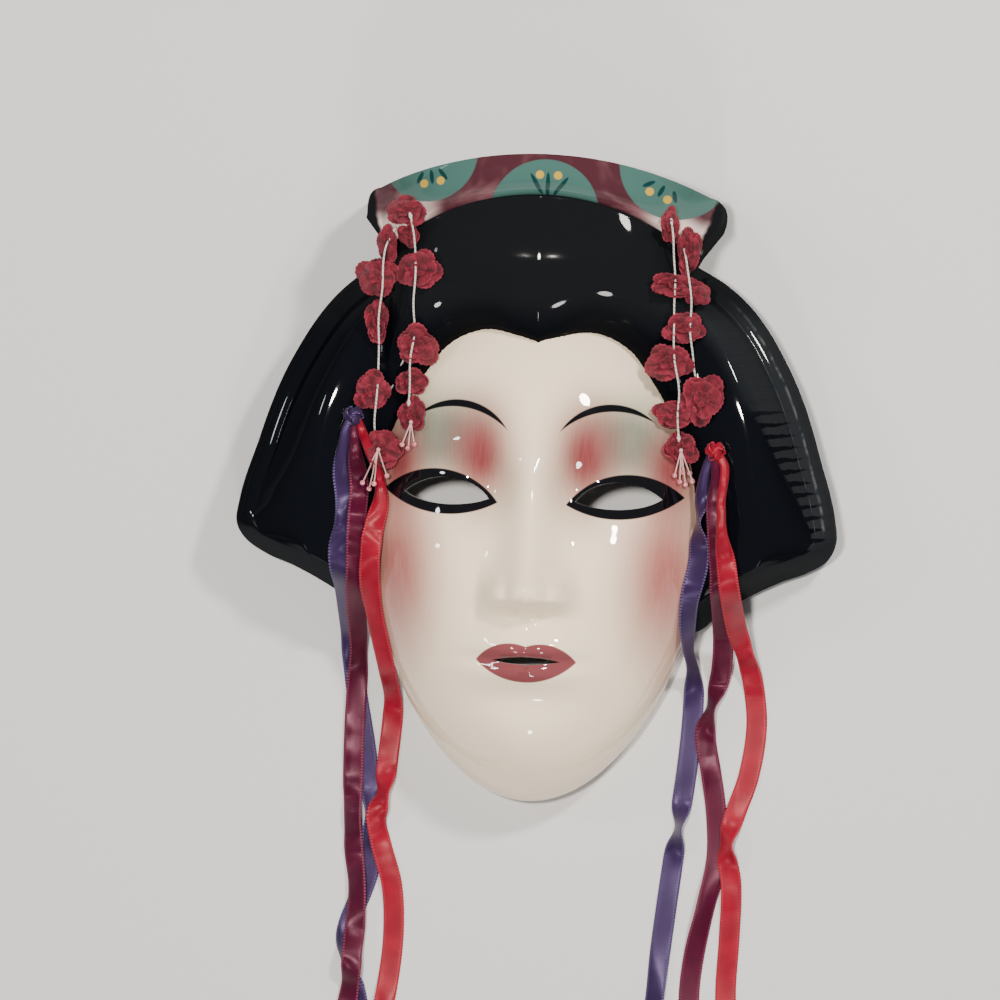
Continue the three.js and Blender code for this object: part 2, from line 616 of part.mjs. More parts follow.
// Thread over the flowers that are sewn to it
function addString(name) {
  const flat = new THREE.CatmullRomCurve3(STRINGS[name].map(([x, y]) => new THREE.Vector3(x, y, 0)));
  const lines = [-0.5, 0.5].map((aside) => drape(flat, STRING_STEPS, aside, STRING_DRAPE));
  const path = new THREE.CatmullRomCurve3(flat.getSpacedPoints(STRING_STEPS).map((p, i) => (
    p.setZ(Math.max(lines[0][i], lines[1][i]) + GAP + STRING_WIDE / 2))));
  const section = new THREE.Shape().absarc(0, 0, STRING_WIDE / 2, 0, 2 * Math.PI);
  const tube = new THREE.ExtrudeGeometry(section, {
    steps: STRING_STEPS, curveSegments: 4, bevelEnabled: false, extrudePath: path,
  });
  mask.add(meshOf(`string_${name}`, solidOf(tube), THREAD));
}

// Beads on short threads that meet in one point at the lower edge of a flower
function addStamens(name) {
  const places = STAMENS[name].map(([x, y]) => {
    const sides = [-BEAD, 0, BEAD];
    const around = sides.flatMap((over) => sides.map((up) => heightAt(x + over, y + up)));
    return new THREE.Vector3(x, y, Math.max(...around) + GAP + BEAD);
  });
  const bead = (place) => solidOf(new THREE.IcosahedronGeometry(BEAD, 0).translate(...place));
  const thread = (place) => {
    const way = place.clone().sub(places[0]);
    const rod = new THREE.CylinderGeometry(FILAMENT, FILAMENT, way.length(), 3);
    rod.translate(0, way.length() / 2, 0);
    rod.applyQuaternion(new THREE.Quaternion().setFromUnitVectors(
      new THREE.Vector3(0, 1, 0), way.clone().normalize()));
    return solidOf(rod.translate(...places[0]));
  };
  const bundle = places.slice(1).reduce(
    (solid, place) => solid.add(bead(place)).add(thread(place)), bead(places[0]));
  mask.add(meshOf(`stamens_${name}`, bundle, PEARL));
}

mask.add(meshOf('mask_shell', maskShell(), CERAMIC));
addKnot('left', 'purple');
addKnot('right', 'red');
for (const side of ['left', 'right']) {
  for (const colour of Object.keys(RIBBONS[side])) addRibbon(side, colour);
  FLOWERS[side].forEach((flower, i) => addFlower(side, i + 1, flower));
}
for (const name of Object.keys(STRINGS)) addString(name);
for (const name of Object.keys(STAMENS)) addStamens(name);

export default mask;
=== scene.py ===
"""The finish of a glazed ceramic wall mask in the style of a geisha, with ribbons and cloth flowers.

The mask lies on its back. Sizes are in millimetres in the functions and become metres where a
mesh is made: +Z points up out of the face, +Y to the crown and +X to the viewer's right.
"""

import math

import bpy
import numpy as np
from mathutils import Matrix, Vector


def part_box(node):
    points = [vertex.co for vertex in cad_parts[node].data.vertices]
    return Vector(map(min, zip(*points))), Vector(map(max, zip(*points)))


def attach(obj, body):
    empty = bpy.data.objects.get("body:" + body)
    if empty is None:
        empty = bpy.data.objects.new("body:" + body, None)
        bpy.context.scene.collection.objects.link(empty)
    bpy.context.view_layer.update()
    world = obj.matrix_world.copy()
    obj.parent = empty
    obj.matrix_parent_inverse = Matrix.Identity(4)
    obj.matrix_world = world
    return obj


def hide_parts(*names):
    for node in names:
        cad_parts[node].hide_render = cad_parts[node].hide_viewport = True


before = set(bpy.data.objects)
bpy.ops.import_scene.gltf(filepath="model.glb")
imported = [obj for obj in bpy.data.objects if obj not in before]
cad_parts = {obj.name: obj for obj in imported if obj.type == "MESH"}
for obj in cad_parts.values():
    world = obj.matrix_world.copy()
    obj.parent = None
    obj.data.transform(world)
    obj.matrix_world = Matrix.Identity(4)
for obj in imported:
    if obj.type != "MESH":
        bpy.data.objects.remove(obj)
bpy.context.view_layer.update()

# The casting, with the same driving sizes as its solid
WALL = 4.5
HEAD_Y = 20
EYE_LINE = -6
EYE_OUT = 30
NOSE_BASE = -45
MOUTH_LINE = -63
CHIN_LINE = -92
FACE_Y = -20
FACE_UP = 100
FACE_DOWN = 93
JAW_HALF = 58
TEMPLE_HALF = 63
CHIN_TAPER = 0.1
FACE_EDGE = 13
FACE_RISE = 45
FACE_FULL = 2.8
FACE_TURN = 0.6
HAIR_OUTLINE = [
    (0, -40), (32, -46), (55, -52), (66, -44), (76, -38), (86, -33), (95, -29.5), (102, -25),
    (105, -18.5), (104.2, -10), (98, 12), (87.5, 40), (72.5, 63), (64, 70.5), (50, 78), (0, 84),
]
HAIRLINE = [
    (0, -38), (30, -44), (54.5, -51), (56, -45), (57, -16), (53.3, 9.6), (48.6, 21), (40.5, 35),
    (31, 47), (19, 52), (8, 50.4), (0, 48),
]
CREASE = [
    (0, -60), (30, -60), (57, -53), (76, -40), (79, -20), (77, 0), (74, 20), (66, 42), (56, 60),
    (44, 74), (0, 80),
]
HAIR_PROUD = 4
HAIR_EDGE = 7
WING_FOOT = 9
JAW_ANGLE = 37
TIP_ANGLE = 67
HAIR_HEIGHTS = [
    (37, 22, 20), (43, 31, 30), (50, 38, 37), (58, 43, 39), (66, 45, 36), (80, 46, 32),
    (100, 46, 31), (120, 43, 29), (135, 41, 27), (180, 38, 27),
]
ROLL_OUTLINE = [
    (0, -20), (40, 0), (56, 20), (57, 45), (54, 65), (53.5, 75), (40.3, 90.6), (20, 98.4), (0, 101),
]
ROLL_ANGLE = 84
ROLL_HEIGHTS = [
    (84, 36, 30), (98, 42, 32), (110, 48, 34), (130, 55, 38), (138, 57, 43), (150, 60, 54),
    (165, 62, 59), (180, 62.5, 60),
]
BAND_RADIUS = 83.3
BAND_TOP_Y = 99
CREST_RADIUS = 138
CREST_TOP_Y = 113
BAND_HALF = 52
CREST_HALF = 58
BAND_HEIGHT = 63.5
CREST_HEIGHT = 39
BAND_FALL = 8
CREST_FALL = 6
CROWN_END = 7
EYE_HALF = 15
EYE_UP = 7.5
EYE_LOW = 3.6
SLIT_HALF = 12
SLIT_TALL = 2.6
KNOT_HOLE = 2
KNOTS = {"left": (-63.6, 20), "right": (62.8, 12)}
# The face's bells, the same on both sides: height, middle and half sizes
RISES = [
    (2, 0, 30, 30, 18), (1.6, 26, 10, 15, 5), (4.4, EYE_OUT, EYE_LINE + 1, 10, 6), (3, 33, -27, 14, 12),
    (3.6, 0, MOUTH_LINE + 1, 20, 13), (2.8, 6, MOUTH_LINE + 3.6, 7, 2.4),
    (3.2, 0, MOUTH_LINE - 4.2, 11, 2.9), (4, 0, CHIN_LINE, 12, 9),
]
HOLLOWS = [
    (6, 27, EYE_LINE + 2, 15, 9), (2.6, 13.5, EYE_LINE + 2, 5, 8), (1.8, 0, -77, 13, 3.6),
    (0.9, 0, -53, 2.2, 4),
]
NOSTRILS = [
    (1.5, 7.2, NOSE_BASE + 5, 1.4, 3.6), (1.6, 17.5, NOSE_BASE + 5, 2.2, 6),
    (1.6, 5.4, NOSE_BASE - 1.4, 2.6, 1.6),
]

# How finely the casting is drawn, and how soft its joins are
SPOKES = 540
INNER_SPOKES = SPOKES // 3
CLIFF = 4.5          # slope with which a form falls away outside its own outline
SOFT = 3.0           # heights closer than this melt into each other
STEP_IN = 0.6        # the hair starts so far outside its hairline
STEP_SOFT = 2.5
SHARP_ANGLE = 62     # between two faces, in degrees
RINGS = [46, 9, 30, 9, 26]
INNER_RINGS = 52
PROBES = 1400        # places along a spoke at which the outline is looked for

# The trim
RIBBON_WIDTH = 7.5
RIBBON_THICK = 0.3
RIBBONS = {
    "left_purple": [
        (-66.3, 14), (-66.8, 0), (-65.5, -13), (-67.6, -25), (-66.6, -38), (-65.3, -58),
        (-62.8, -76), (-58.9, -96), (-57.3, -106), (-55.4, -117), (-55.3, -126), (-56.3, -141),
        (-64, -166), (-59.5, -182), (-56, -205), (-60, -228), (-66, -248),
    ],
    "left_burgundy": [
        (-63.2, 13.8), (-61.6, 4), (-61, -3), (-61.4, -26), (-61.9, -48), (-62, -63),
        (-62.9, -88), (-62.7, -113), (-61.7, -132), (-59.9, -146), (-60.2, -163), (-61.4, -183),
        (-66, -207), (-70, -230), (-69, -248),
    ],
    "left_red": [
        (-60.4, 14.6), (-56.5, 6), (-54.2, -0.5), (-53.4, -10), (-55.9, -23), (-56.6, -38),
        (-54.9, -51), (-51.1, -68), (-49.5, -80), (-50.2, -95), (-52, -113), (-53.7, -121),
        (-52.1, -130), (-47.7, -145), (-46.6, -163), (-48.3, -182), (-52, -206), (-50, -230),
        (-45, -248),
    ],
    "right_purple": [
        (59.8, 5.8), (58.2, -3), (57.3, -13), (58.1, -26), (55.1, -42), (55, -57), (56.5, -65),
        (56.5, -81), (55.2, -100), (52.7, -121), (50.7, -139), (49.3, -152), (47.3, -172),
        (45, -205), (45, -230), (48, -248),
    ],
    "right_burgundy": [
        (63.3, 5.5), (63.3, -3), (65.2, -28), (66.6, -49), (66.2, -65), (62.8, -78),
        (61.2, -87), (63.7, -101), (66.1, -116), (66.7, -132), (63.4, -149), (60.1, -165),
        (58.7, -180), (60, -205), (63, -228), (62, -248),
    ],
    "right_red": [
        (66.3, 6.3), (65.5, -6), (66.6, -19), (69, -35), (71.6, -50), (74.4, -59), (77.4, -69),
        (79.2, -84), (77.2, -101), (73.2, -114), (70.3, -123), (69.9, -129), (72.2, -140),
        (72.2, -158), (71.6, -180), (74, -205), (78, -228), (79, -248),
    ],
}
# Where a ribbon turns on its edge: y, degrees, and the reach of the turn along the ribbon
TURNS = {
    "left_purple": [(-20, 55, 12), (-120, -50, 10), (-172, 60, 12)],
    "left_burgundy": [(-60, -22, 22), (-150, 25, 20)],
    "left_red": [(-28, 40, 10), (-113, 66, 9), (-200, -30, 18)],
    "right_purple": [(-13, 62, 9), (-60, -30, 14), (-121, 68, 9), (-180, 24, 20)],
    "right_burgundy": [(-14, 40, 10), (-78, 70, 10), (-150, -26, 18)],
    "right_red": [(-40, 30, 12), (-59, 60, 10), (-126, 58, 9), (-205, -28, 18)],
}
# Lengths from the knot between which a rolled ribbon opens out
OPENING = {"left_red": (18, 42), "right_red": (20, 46), "right_burgundy": (4, 24)}

# Cloth flowers: middle, width and height seen from the front
FLOWERS = {
    "left": [
        (-47.2, 91.5, 15, 11), (-45.9, 83.1, 8, 8), (-53.4, 80.1, 8, 12.4), (-56.9, 68.7, 15, 15),
        (-41.6, 71.4, 16, 14.5), (-56.5, 53.3, 9, 15.4), (-41.7, 45.1, 15, 14),
        (-57.4, 29, 13.5, 13.5), (-43.7, 32.4, 11.5, 9.5), (-43.3, 21.2, 11, 12),
        (-52.3, 9, 12.7, 13.7),
    ],
    "right": [
        (45, 89.5, 7, 13), (51.6, 81.3, 9, 16), (47.8, 68.9, 18, 9), (54.9, 66.4, 10, 8),
        (50.8, 54.3, 15, 11), (45.6, 42.2, 16.5, 13.6), (57.6, 30.1, 16, 18),
        (48, 24.5, 14.5, 10.7), (50.9, 12.7, 12, 12),
    ],
}
STRINGS = {
    "left_outer": [(-50.5, 86), (-54.1, 78.6), (-54.7, 64.6), (-55.8, 46.3), (-55.8, 33), (-55.9, 11.7)],
    "left_inner": [(-45.5, 91), (-43.1, 74.1), (-43, 50.7), (-44.6, 36.6), (-44.2, 24)],
    "right_inner": [(45.1, 92), (46.9, 73.1), (47.7, 59.5), (47.2, 47.6), (49.5, 30.8), (50, 15)],
    "right_outer": [(48.5, 86), (51.5, 72.9), (52.9, 63.2), (54, 41.9), (56.5, 32)],
}
STAMENS = {
    "left_inner": [(-43.4, 18.5), (-46.4, 10.6), (-44.2, 9.4), (-42, 10.8)],
    "left_outer": [(-54, 8.5), (-59.9, -3.2), (-57.6, -5.2), (-55.8, -3.4), (-51.4, -0.5)],
    "right": [(50.8, 12), (48.8, 3.2), (50.6, 1), (52.6, 0.2), (54.9, 1.4), (53.8, 4.2), (51.4, 4.4)],
}
BEAD = 0.95          # radius
THREAD = 0.35        # radius
THREAD_SIDES = 8
TWIST = 1.4          # length of one turn of a thread's two plies
GAP = 0.3            # room left between a piece and what it lies on
PICOT = 1.05         # length of one loop on a ribbon's edge
PICOT_TALL = 0.24
ROLLED = 2.0         # radians that half a ribbon's section bends through at its knot
CUPPED = 0.12        # and where it lies open
RIBBON_STEP = 0.3    # way between a ribbon's points
THREAD_STEP = 0.4
# Columns of a ribbon's points that stand for its upper side, from edge to edge
TOP_COLUMNS = (21, 19, 16, 13, 11)
PETAL_ROOM = 0.6     # room under a flower's lowest layer for its ruffles
DROOP = 0.7          # share of the way down that a petal hangs
MOST_DROOP = 7
MOST_SLOPE = 0.5     # of a flower, and to both sides
# A flower's layers: share of its size, lift, curl and spokes
PETAL_LAYERS = [(1.03, 0.1, 0.4, 120), (0.82, 0.7, 1.0, 96), (0.34, 1.5, 1.6, 72)]
# Shares of a flower's reach at which what lies below it is read
PETAL_SHARES = np.array([0.02, 0.25, 0.5, 0.75, 1, 1.15])


# Camera, light and floor

def add_object(name, data):
    """An object with that data, in the scene."""
    made = bpy.data.objects.new(name, data)
    bpy.context.scene.collection.objects.link(made)
    return made


def place_camera():
    """A camera above the mask that looks down almost square, from a little to the viewer's right."""
    target = Vector((-0.0125, -0.0075, 0.03))
    tilt, roll, distance, view_width = math.radians(3.5), math.radians(2.04), 3.0, 0.35
    back = Vector((math.sin(tilt), 0, math.cos(tilt)))
    side = Vector((-math.sin(roll), math.cos(roll), 0)).cross(back).normalized()
    data = bpy.data.cameras.new("camera")
    data.sensor_width = 36
    data.lens = data.sensor_width * distance / view_width
    data.clip_start = 0.05
    data.clip_end = 20
    camera = add_object("camera", data)
    camera.location = target + back * distance
    camera.rotation_euler = Matrix((side, back.cross(side), back)).transposed().to_euler()
    bpy.context.scene.camera = camera


def add_light(name, place, size, power, colour):
    """A round soft light of a size in metres, turned towards the origin."""
    data = bpy.data.lights.new(name, "AREA")
    data.shape = "DISK"
    data.size = size
    data.energy = power
    data.color = colour
    light = add_object(name, data)
    light.location = place
    light.rotation_euler = (-Vector(place)).to_track_quat("-Z", "Y").to_euler()


def light_scene():
    """A key from the upper right, a soft lamp overhead whose light also falls through the eyes,
    small panels from the left and the front, and a dim even surround."""
    add_light("key", (0.5, 0.55, 1.0), 0.13, 13, (1, 0.95, 0.88))
    add_light("overhead", (-0.12, 0.1, 2.2), 0.15, 51, (1, 0.94, 0.86))
    add_light("left panel", (-0.85, 0.25, 0.9), 0.12, 2.2, (0.95, 0.97, 1))
    add_light("front panel", (0.15, -1.2, 1.0), 0.2, 7, (1, 0.95, 0.9))
    world = bpy.data.worlds.new("surround")
    world.use_nodes = True
    surround = world.node_tree.nodes["Background"].inputs
    surround["Color"].default_value = (0.88, 0.9, 0.94, 1)
    surround["Strength"].default_value = 0.24
    bpy.context.scene.world = world


# Meshes and curves

def add_mesh(name, points, faces, materials, chosen=0):
    """Smooth mesh object from points in millimetres and faces. Chosen is the number of the material
    that all its faces take, or a number for each."""
    mesh = bpy.data.meshes.new(name)
    mesh.from_pydata((np.asarray(points) / 1000).tolist(), [], [list(map(int, face)) for face in faces])
    mesh.validate()
    for material in materials:
        mesh.materials.append(material)
    mesh.polygons.foreach_set("material_index", np.full(len(mesh.polygons), chosen, np.int32))
    mesh.polygons.foreach_set("use_smooth", np.ones(len(mesh.polygons), bool))
    return add_object(name, mesh)


def add_attributes(mesh, **attributes):
    """Values at a mesh's points for its material to read, 0 at those past the given ones."""
    for name, values in attributes.items():
        filled = np.zeros(len(mesh.vertices), np.float32)
        filled[:len(values)] = values
        mesh.attributes.new(name, "FLOAT", "POINT").data.foreach_set("value", filled)


def make_piece(name, node, slot, skin, materials, chosen=0, **attributes):
    """A piece in place of a CAD node, from its points and faces, with its attributes. The slot is not used.
    """
    piece = add_mesh(name, *skin, materials, chosen)
    add_attributes(piece.data, **attributes)
    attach(piece, "root")
    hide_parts(node)
    return piece


def grid_faces(rows, columns, first=0):
    """Four-sided faces of a grid of points whose columns close on themselves."""
    i = np.arange(rows - 1)[:, None]
    j = np.arange(columns)[None, :]
    after = (j + 1) % columns
    corners = [i * columns + j, i * columns + after, (i + 1) * columns + after, (i + 1) * columns + j]
    return np.stack(corners, axis=-1).reshape(-1, 4) + first


def fan_faces(ring, middle, turned=False):
    """Triangles from a closed ring of point numbers to one middle point."""
    after = np.roll(ring, -1)
    pair = (after, ring) if turned else (ring, after)
    return np.stack([*pair, np.full(len(ring), middle)], axis=-1)


def closed_skin(rows):
    """Points and faces of a closed skin over rings of equal size, each end closed on its middle."""
    count, columns = rows.shape[:2]
    points = np.vstack([rows.reshape(-1, 3), rows[0].mean(axis=0), rows[-1].mean(axis=0)])
    last = (count - 1) * columns
    ends = [
        fan_faces(np.arange(columns), count * columns, turned=True),
        fan_faces(np.arange(columns) + last, count * columns + 1),
    ]
    return points, [*grid_faces(count, columns), *ends[0], *ends[1]]


def ease(value, low, high):
    """0 below low, 1 above high, and a smooth S between."""
    share = np.clip((value - low) / (high - low), 0, 1)
    return share * share * (3 - 2 * share)


def mix(first, second, share):
    """Straight mix of two values."""
    return first + (second - first) * share


def through(stations, key, column=1):
    """Smooth curve through stations: a cubic between each two, and at each station the slope of the
    line through its neighbours."""
    table = np.array(stations, float)
    at, value = table[:, 0], table[:, column]
    before, after = np.r_[0, np.arange(len(at) - 1)], np.r_[np.arange(1, len(at)), len(at) - 1]
    slope = (value[after] - value[before]) / (at[after] - at[before])
    key = np.clip(key, at[0], at[-1])
    i = np.clip(np.searchsorted(at, key, side="right") - 1, 0, len(at) - 2)
    span = at[i + 1] - at[i]
    t = (key - at[i]) / span
    return ((2 * t**3 - 3 * t**2 + 1) * value[i] + (t**3 - 2 * t**2 + t) * span * slope[i]
            + (3 * t**2 - 2 * t**3) * value[i + 1] + (t**3 - t**2) * span * slope[i + 1])


def bend(share, soft):
    """From 0 to 1, flat at the start and straight further on: the square over the share plus soft."""
    return share * share * (1 + soft) / (share + soft)


def soft_max(first, second, soft):
    """The higher of two heights, melted together where they differ by less than soft."""
    near = np.clip(1 - np.abs(first - second) / soft, 0, 1)
    return np.maximum(first, second) + near * near * soft / 4


def soft_min(first, second, soft):
    """The lower of two heights, melted together in the same way."""
    return -soft_max(-first, -second, soft)


def bell(value):
    """1 at zero and less to both sides, by the square."""
    return np.exp(-0.5 * value**2)


def circle(count):
    """Turns around a circle of radius 1 and the points there."""
    turn = np.linspace(0, 2 * np.pi, count, endpoint=False)
    return turn, np.stack([np.cos(turn), np.sin(turn)], axis=-1)


# Heights of the casting's forms over a place. Each falls away as a cliff outside its outline.

def spokes_through(points):
    """An outline as stations of angle from straight down and distance around the head's middle."""
    return [(math.degrees(math.atan2(x, HEAD_Y - y)), math.hypot(x, y - HEAD_Y)) for x, y in points]


HAIR_REACH = spokes_through(HAIR_OUTLINE)
LINE_REACH = spokes_through(HAIRLINE)
CREASE_REACH = spokes_through(CREASE)
ROLL_REACH = spokes_through(ROLL_OUTLINE)


def squareness(stations, angle):
    """How squarely a spoke meets an outline: the cosine of the outline's slant, at least 0.6."""
    change = (through(stations, angle + 1) - through(stations, angle - 1)) / math.radians(2)
    return np.maximum(0.6, np.cos(np.arctan(change / through(stations, angle))))


def face_share(x, y):
    """How far out a place lies in the face's egg, 1 on its edge."""
    below = np.maximum(FACE_Y - y, 0) / FACE_DOWN
    half = mix(JAW_HALF, TEMPLE_HALF, ease(y, -62, -25)) * (1 - CHIN_TAPER * below**2)
    tall = np.where(y < FACE_Y, FACE_DOWN, FACE_UP)
    return np.hypot(x / half, (y - FACE_Y) / tall)


def face_dome(share):
    """Height of the bare dome: its edge, and a rise by a power of the share."""
    return FACE_EDGE + FACE_RISE * (1 - np.minimum(share, 1) ** FACE_FULL) ** FACE_TURN


def bells(x, y, table):
    """Sum of bells over both axes, the same on both sides of the middle line."""
    return sum(
        high * np.exp(-0.5 * (((np.abs(x) - at_x) / wide) ** 2 + ((y - at_y) / tall) ** 2))
        for high, at_x, at_y, wide, tall in table)


def nose_rise(x, y):
    """A ridge that grows downwards, a rounded tip and two wings, ended by a smooth under side, less
    bells for the creases beside the wings and the nostrils."""
    down = np.clip((8 - y) / 46, 0, 1)
    bridge = (3.2 * (1 - ease(y, 0, 16)) + 11.5 * down**1.2) * bell(x / (5 + 2.4 * down))
    rounded = bells(x, y, [(2.2, 0, NOSE_BASE + 7, 6.5, 5), (5, 11, NOSE_BASE + 4.5, 4.2, 4.6)])
    return (bridge + rounded) * ease(y, NOSE_BASE - 3.6, NOSE_BASE + 3.6) - bells(x, y, NOSTRILS)


def face_relief(x, y):
    """Bells for brows, lids, cheeks, lips and chin and the nose's ridge, less the hollows beside and
    below them and the line of the mouth."""
    mouth = 2.4 * np.exp(-0.5 * ((x / 17) ** 4 + ((y - MOUTH_LINE) / 1.5) ** 2))
    return bells(x, y, RISES) + nose_rise(x, y) - bells(x, y, HOLLOWS) - mouth


def face_height(x, y):
    """Dome with its relief, which fades out near the edge, and a cliff outside it."""
    share = face_share(x, y)
    relief = (1 - ease(share, 0.88, 1)) * face_relief(x, y)
    return face_dome(share) + relief - CLIFF * 60 * np.maximum(share - 1, 0)


def spoke_place(turn, distance):
    """Place at a distance from the head's middle, turned from straight down in radians."""
    return distance * np.sin(turn), HEAD_Y - distance * np.cos(turn)


def step_start(angle):
    """Height of the hair where it rises from the face along the hairline."""
    return face_dome(face_share(*spoke_place(np.radians(angle), through(LINE_REACH, angle)))) + HAIR_PROUD


def hair_height(angle, distance):
    """Along a spoke: a cliff at the hairline, up to the crease and down from it in two bends, and a
    quarter round at the edge or the wing's under side."""
    square = squareness(HAIR_REACH, angle)
    outer = through(HAIR_REACH, angle)
    turn = outer - HAIR_EDGE / square
    around = np.maximum(angle, JAW_ANGLE)
    crease, end = through(HAIR_HEIGHTS, around), through(HAIR_HEIGHTS, around, 2)
    line = np.minimum(through(LINE_REACH, angle), turn - 1)
    start = np.minimum(step_start(angle), crease)
    peak = np.clip(through(CREASE_REACH, angle), line + 0.5, turn - 0.3)
    up = np.clip((distance - line) / (peak - line), 0, 1)
    down = np.clip((distance - peak) / (turn - peak), 0, 1)
    panel = mix(start, crease, 1 - bend(1 - up, 2.0))
    panel = np.where(distance > peak, mix(crease, end, bend(down, 2.0)), panel)
    past = np.clip((distance - turn) / (outer - turn), 0, 1)
    rim = panel - HAIR_EDGE * (1 - np.sqrt(1 - past**2))
    under = mix(panel, WING_FOOT, past**2 * 1.12 / (past + 0.12))
    bottom = (1 - ease(angle, TIP_ANGLE - 3, TIP_ANGLE + 4)) * ease(angle, 38, 42)
    height = mix(rim, under, bottom)
    height = soft_min(height, start + CLIFF * (distance - line - STEP_IN), STEP_SOFT)
    hidden = np.maximum(38.5 - angle, 0) * np.radians(1) * distance
    return height - CLIFF * (np.maximum(distance - outer, 0) + hidden)


def roll_height(angle, distance):
    """Along a spoke: a cliff at the hairline, up in a parabola to the crest, and down in another."""
    outer = through(ROLL_REACH, angle)
    around = np.maximum(angle, ROLL_ANGLE)
    crest, end = through(ROLL_HEIGHTS, around), through(ROLL_HEIGHTS, around, 2)
    line = np.minimum(through(LINE_REACH, angle), outer - 1)
    start = np.minimum(step_start(angle), crest)
    share = (distance - line) / (outer - line)
    rising = mix(start, crest, 1 - (1 - np.clip(share / 0.55, 0, 1)) ** 2)
    falling = (crest - end) * np.clip((share - 0.55) / 0.45, 0, 1.6) ** 2
    height = soft_min(rising - falling, start + CLIFF * (distance - line - STEP_IN), STEP_SOFT)
    return height - CLIFF * np.maximum(ROLL_ANGLE + 2 - angle, 0) * np.radians(1) * distance


def crown_place(x, y):
    """Where a place lies in the headpiece: share from side to side, reach past the arc's end, share
    from the front arc to the back arc, and the way between the two."""
    x = np.abs(x)
    over = np.full_like(x, 0.5)
    for _ in range(4):
        half = mix(BAND_HALF, CREST_HALF, np.clip(over, 0, 1))
        share = np.minimum(x / half, 1)
        band_y = BAND_TOP_Y - BAND_RADIUS + np.sqrt(BAND_RADIUS**2 - (share * BAND_HALF) ** 2)
        crest_y = CREST_TOP_Y - CREST_RADIUS + np.sqrt(CREST_RADIUS**2 - (share * CREST_HALF) ** 2)
        over = (y - band_y) / (crest_y - band_y)
    return share, np.maximum(x - half, 0) / CROWN_END, over, crest_y - band_y


def crown_height(x, y):
    """The band's section, a rounded front lip and a slope back to the crest, swept from end to
    end; past the arcs it closes on its middle in a quarter round."""
    share, past, over, depth = crown_place(x, y)
    close = np.sqrt(np.maximum(1 - past**2, 0.0025))
    place = 0.5 + (over - 0.5) / close
    band = BAND_HEIGHT - BAND_FALL * share**2 - 8 * (1 - close)
    crest = CREST_HEIGHT - CREST_FALL * share**2 - 3 * (1 - close)
    inside = np.clip(place, 0, 1)
    height = mix(band, crest, np.clip((inside - 0.12) / 0.88, 0, 1) ** 1.04)
    height = height - 1.8 * (1 - np.clip(inside / 0.14, 0, 1)) ** 2
    height = height - 2.4 * np.clip((inside - 0.88) / 0.12, 0, 1) ** 2
    outside = np.maximum(np.abs(place - 0.5) - 0.5, 0) * depth * close
    return height - CLIFF * (outside + CROWN_END * np.maximum(past - 1, 0))


def polar(x, y):
    """Angle from straight down in degrees, the same on both sides, and distance."""
    return np.degrees(np.arctan2(np.abs(x), HEAD_Y - y)), np.hypot(x, y - HEAD_Y)


def head_height(x, y):
    """Height of the whole casting: its four forms melted together, sharply along the hairline."""
    angle, distance = polar(x, y)
    inward = ease(distance - through(LINE_REACH, angle), 1, 8)
    hair = soft_max(hair_height(angle, distance), roll_height(angle, distance), mix(0.1, SOFT, inward))
    height = soft_max(face_height(x, y), hair, SOFT / 2)
    return soft_max(height, crown_height(x, y), SOFT)


def last_inside(test, angle, near, far):
    """For each spoke the furthest of many distances at which a test of places holds, or 0."""
    distance = np.linspace(near, far, PROBES)
    held = test(*spoke_place(np.radians(angle)[:, None], distance[None, :]))
    furthest = distance[len(distance) - 1 - np.argmax(held[:, ::-1], axis=1)]
    return np.where(held.any(axis=1), furthest, 0)


def in_crown(x, y):
    """Whether a place lies on the headpiece."""
    _, past, over, _ = crown_place(x, y)
    close = np.sqrt(np.maximum(1 - past**2, 0))
    return (past < 1) & (np.abs(over - 0.5) <= 0.5 * close)


def outline_reach(angle):
    """Distance of the casting's outline along each spoke: the furthest of face, hair and headpiece."""
    face = last_inside(lambda x, y: face_share(x, y) <= 1, angle, 60, 140)
    hair = np.where(angle >= JAW_ANGLE + 0.4, through(HAIR_REACH, angle), 0)
    crown = last_inside(in_crown, angle, 55, 115)
    return np.maximum(np.maximum(face, hair), crown)


REACH_ANGLES = np.linspace(0, 180, 1441)
REACHES = outline_reach(REACH_ANGLES)


def reach_of(angle):
    """The outline's distance at any angle, from a fine table."""
    return np.interp(angle, REACH_ANGLES, REACHES)


def surface_height(x, y):
    """Height of the casting over a place, or the floor beside it."""
    angle, distance = polar(x, y)
    return np.where(distance < reach_of(angle), np.maximum(head_height(x, y), 0), 0)


# The casting

def ring_distances(angle):
    """Distances of the rings along each spoke, crowded at the hairline, at the headpiece's front
    or the edge's turn, and at the outline."""
    reach = reach_of(angle)
    line = np.minimum(through(LINE_REACH, angle), reach - 22)
    turn = through(HAIR_REACH, angle) - HAIR_EDGE / squareness(HAIR_REACH, angle)
    middle = BAND_TOP_Y - BAND_RADIUS - HEAD_Y
    aside = np.radians(angle)
    front = -middle * np.cos(aside) + np.sqrt(BAND_RADIUS**2 - (middle * np.sin(aside)) ** 2)
    second = mix(reach - 5, turn, ease(angle, 34, 42))
    second = mix(second, front, ease(angle, 128, 142))
    second = np.clip(second, line + 8, reach - 3)
    stops = np.stack([np.full_like(reach, 1.5), line - 1.5, line + 2, second - 2, second + 1.5, reach])
    rows = []
    for k, count in enumerate(RINGS):
        share = np.linspace(0, 1, count, endpoint=False)[:, None]
        share = 1 - (1 - share) ** 1.7 if k == len(RINGS) - 1 else share
        rows.append(mix(stops[k], stops[k + 1], share))
    return np.vstack([*rows, reach[None, :]])


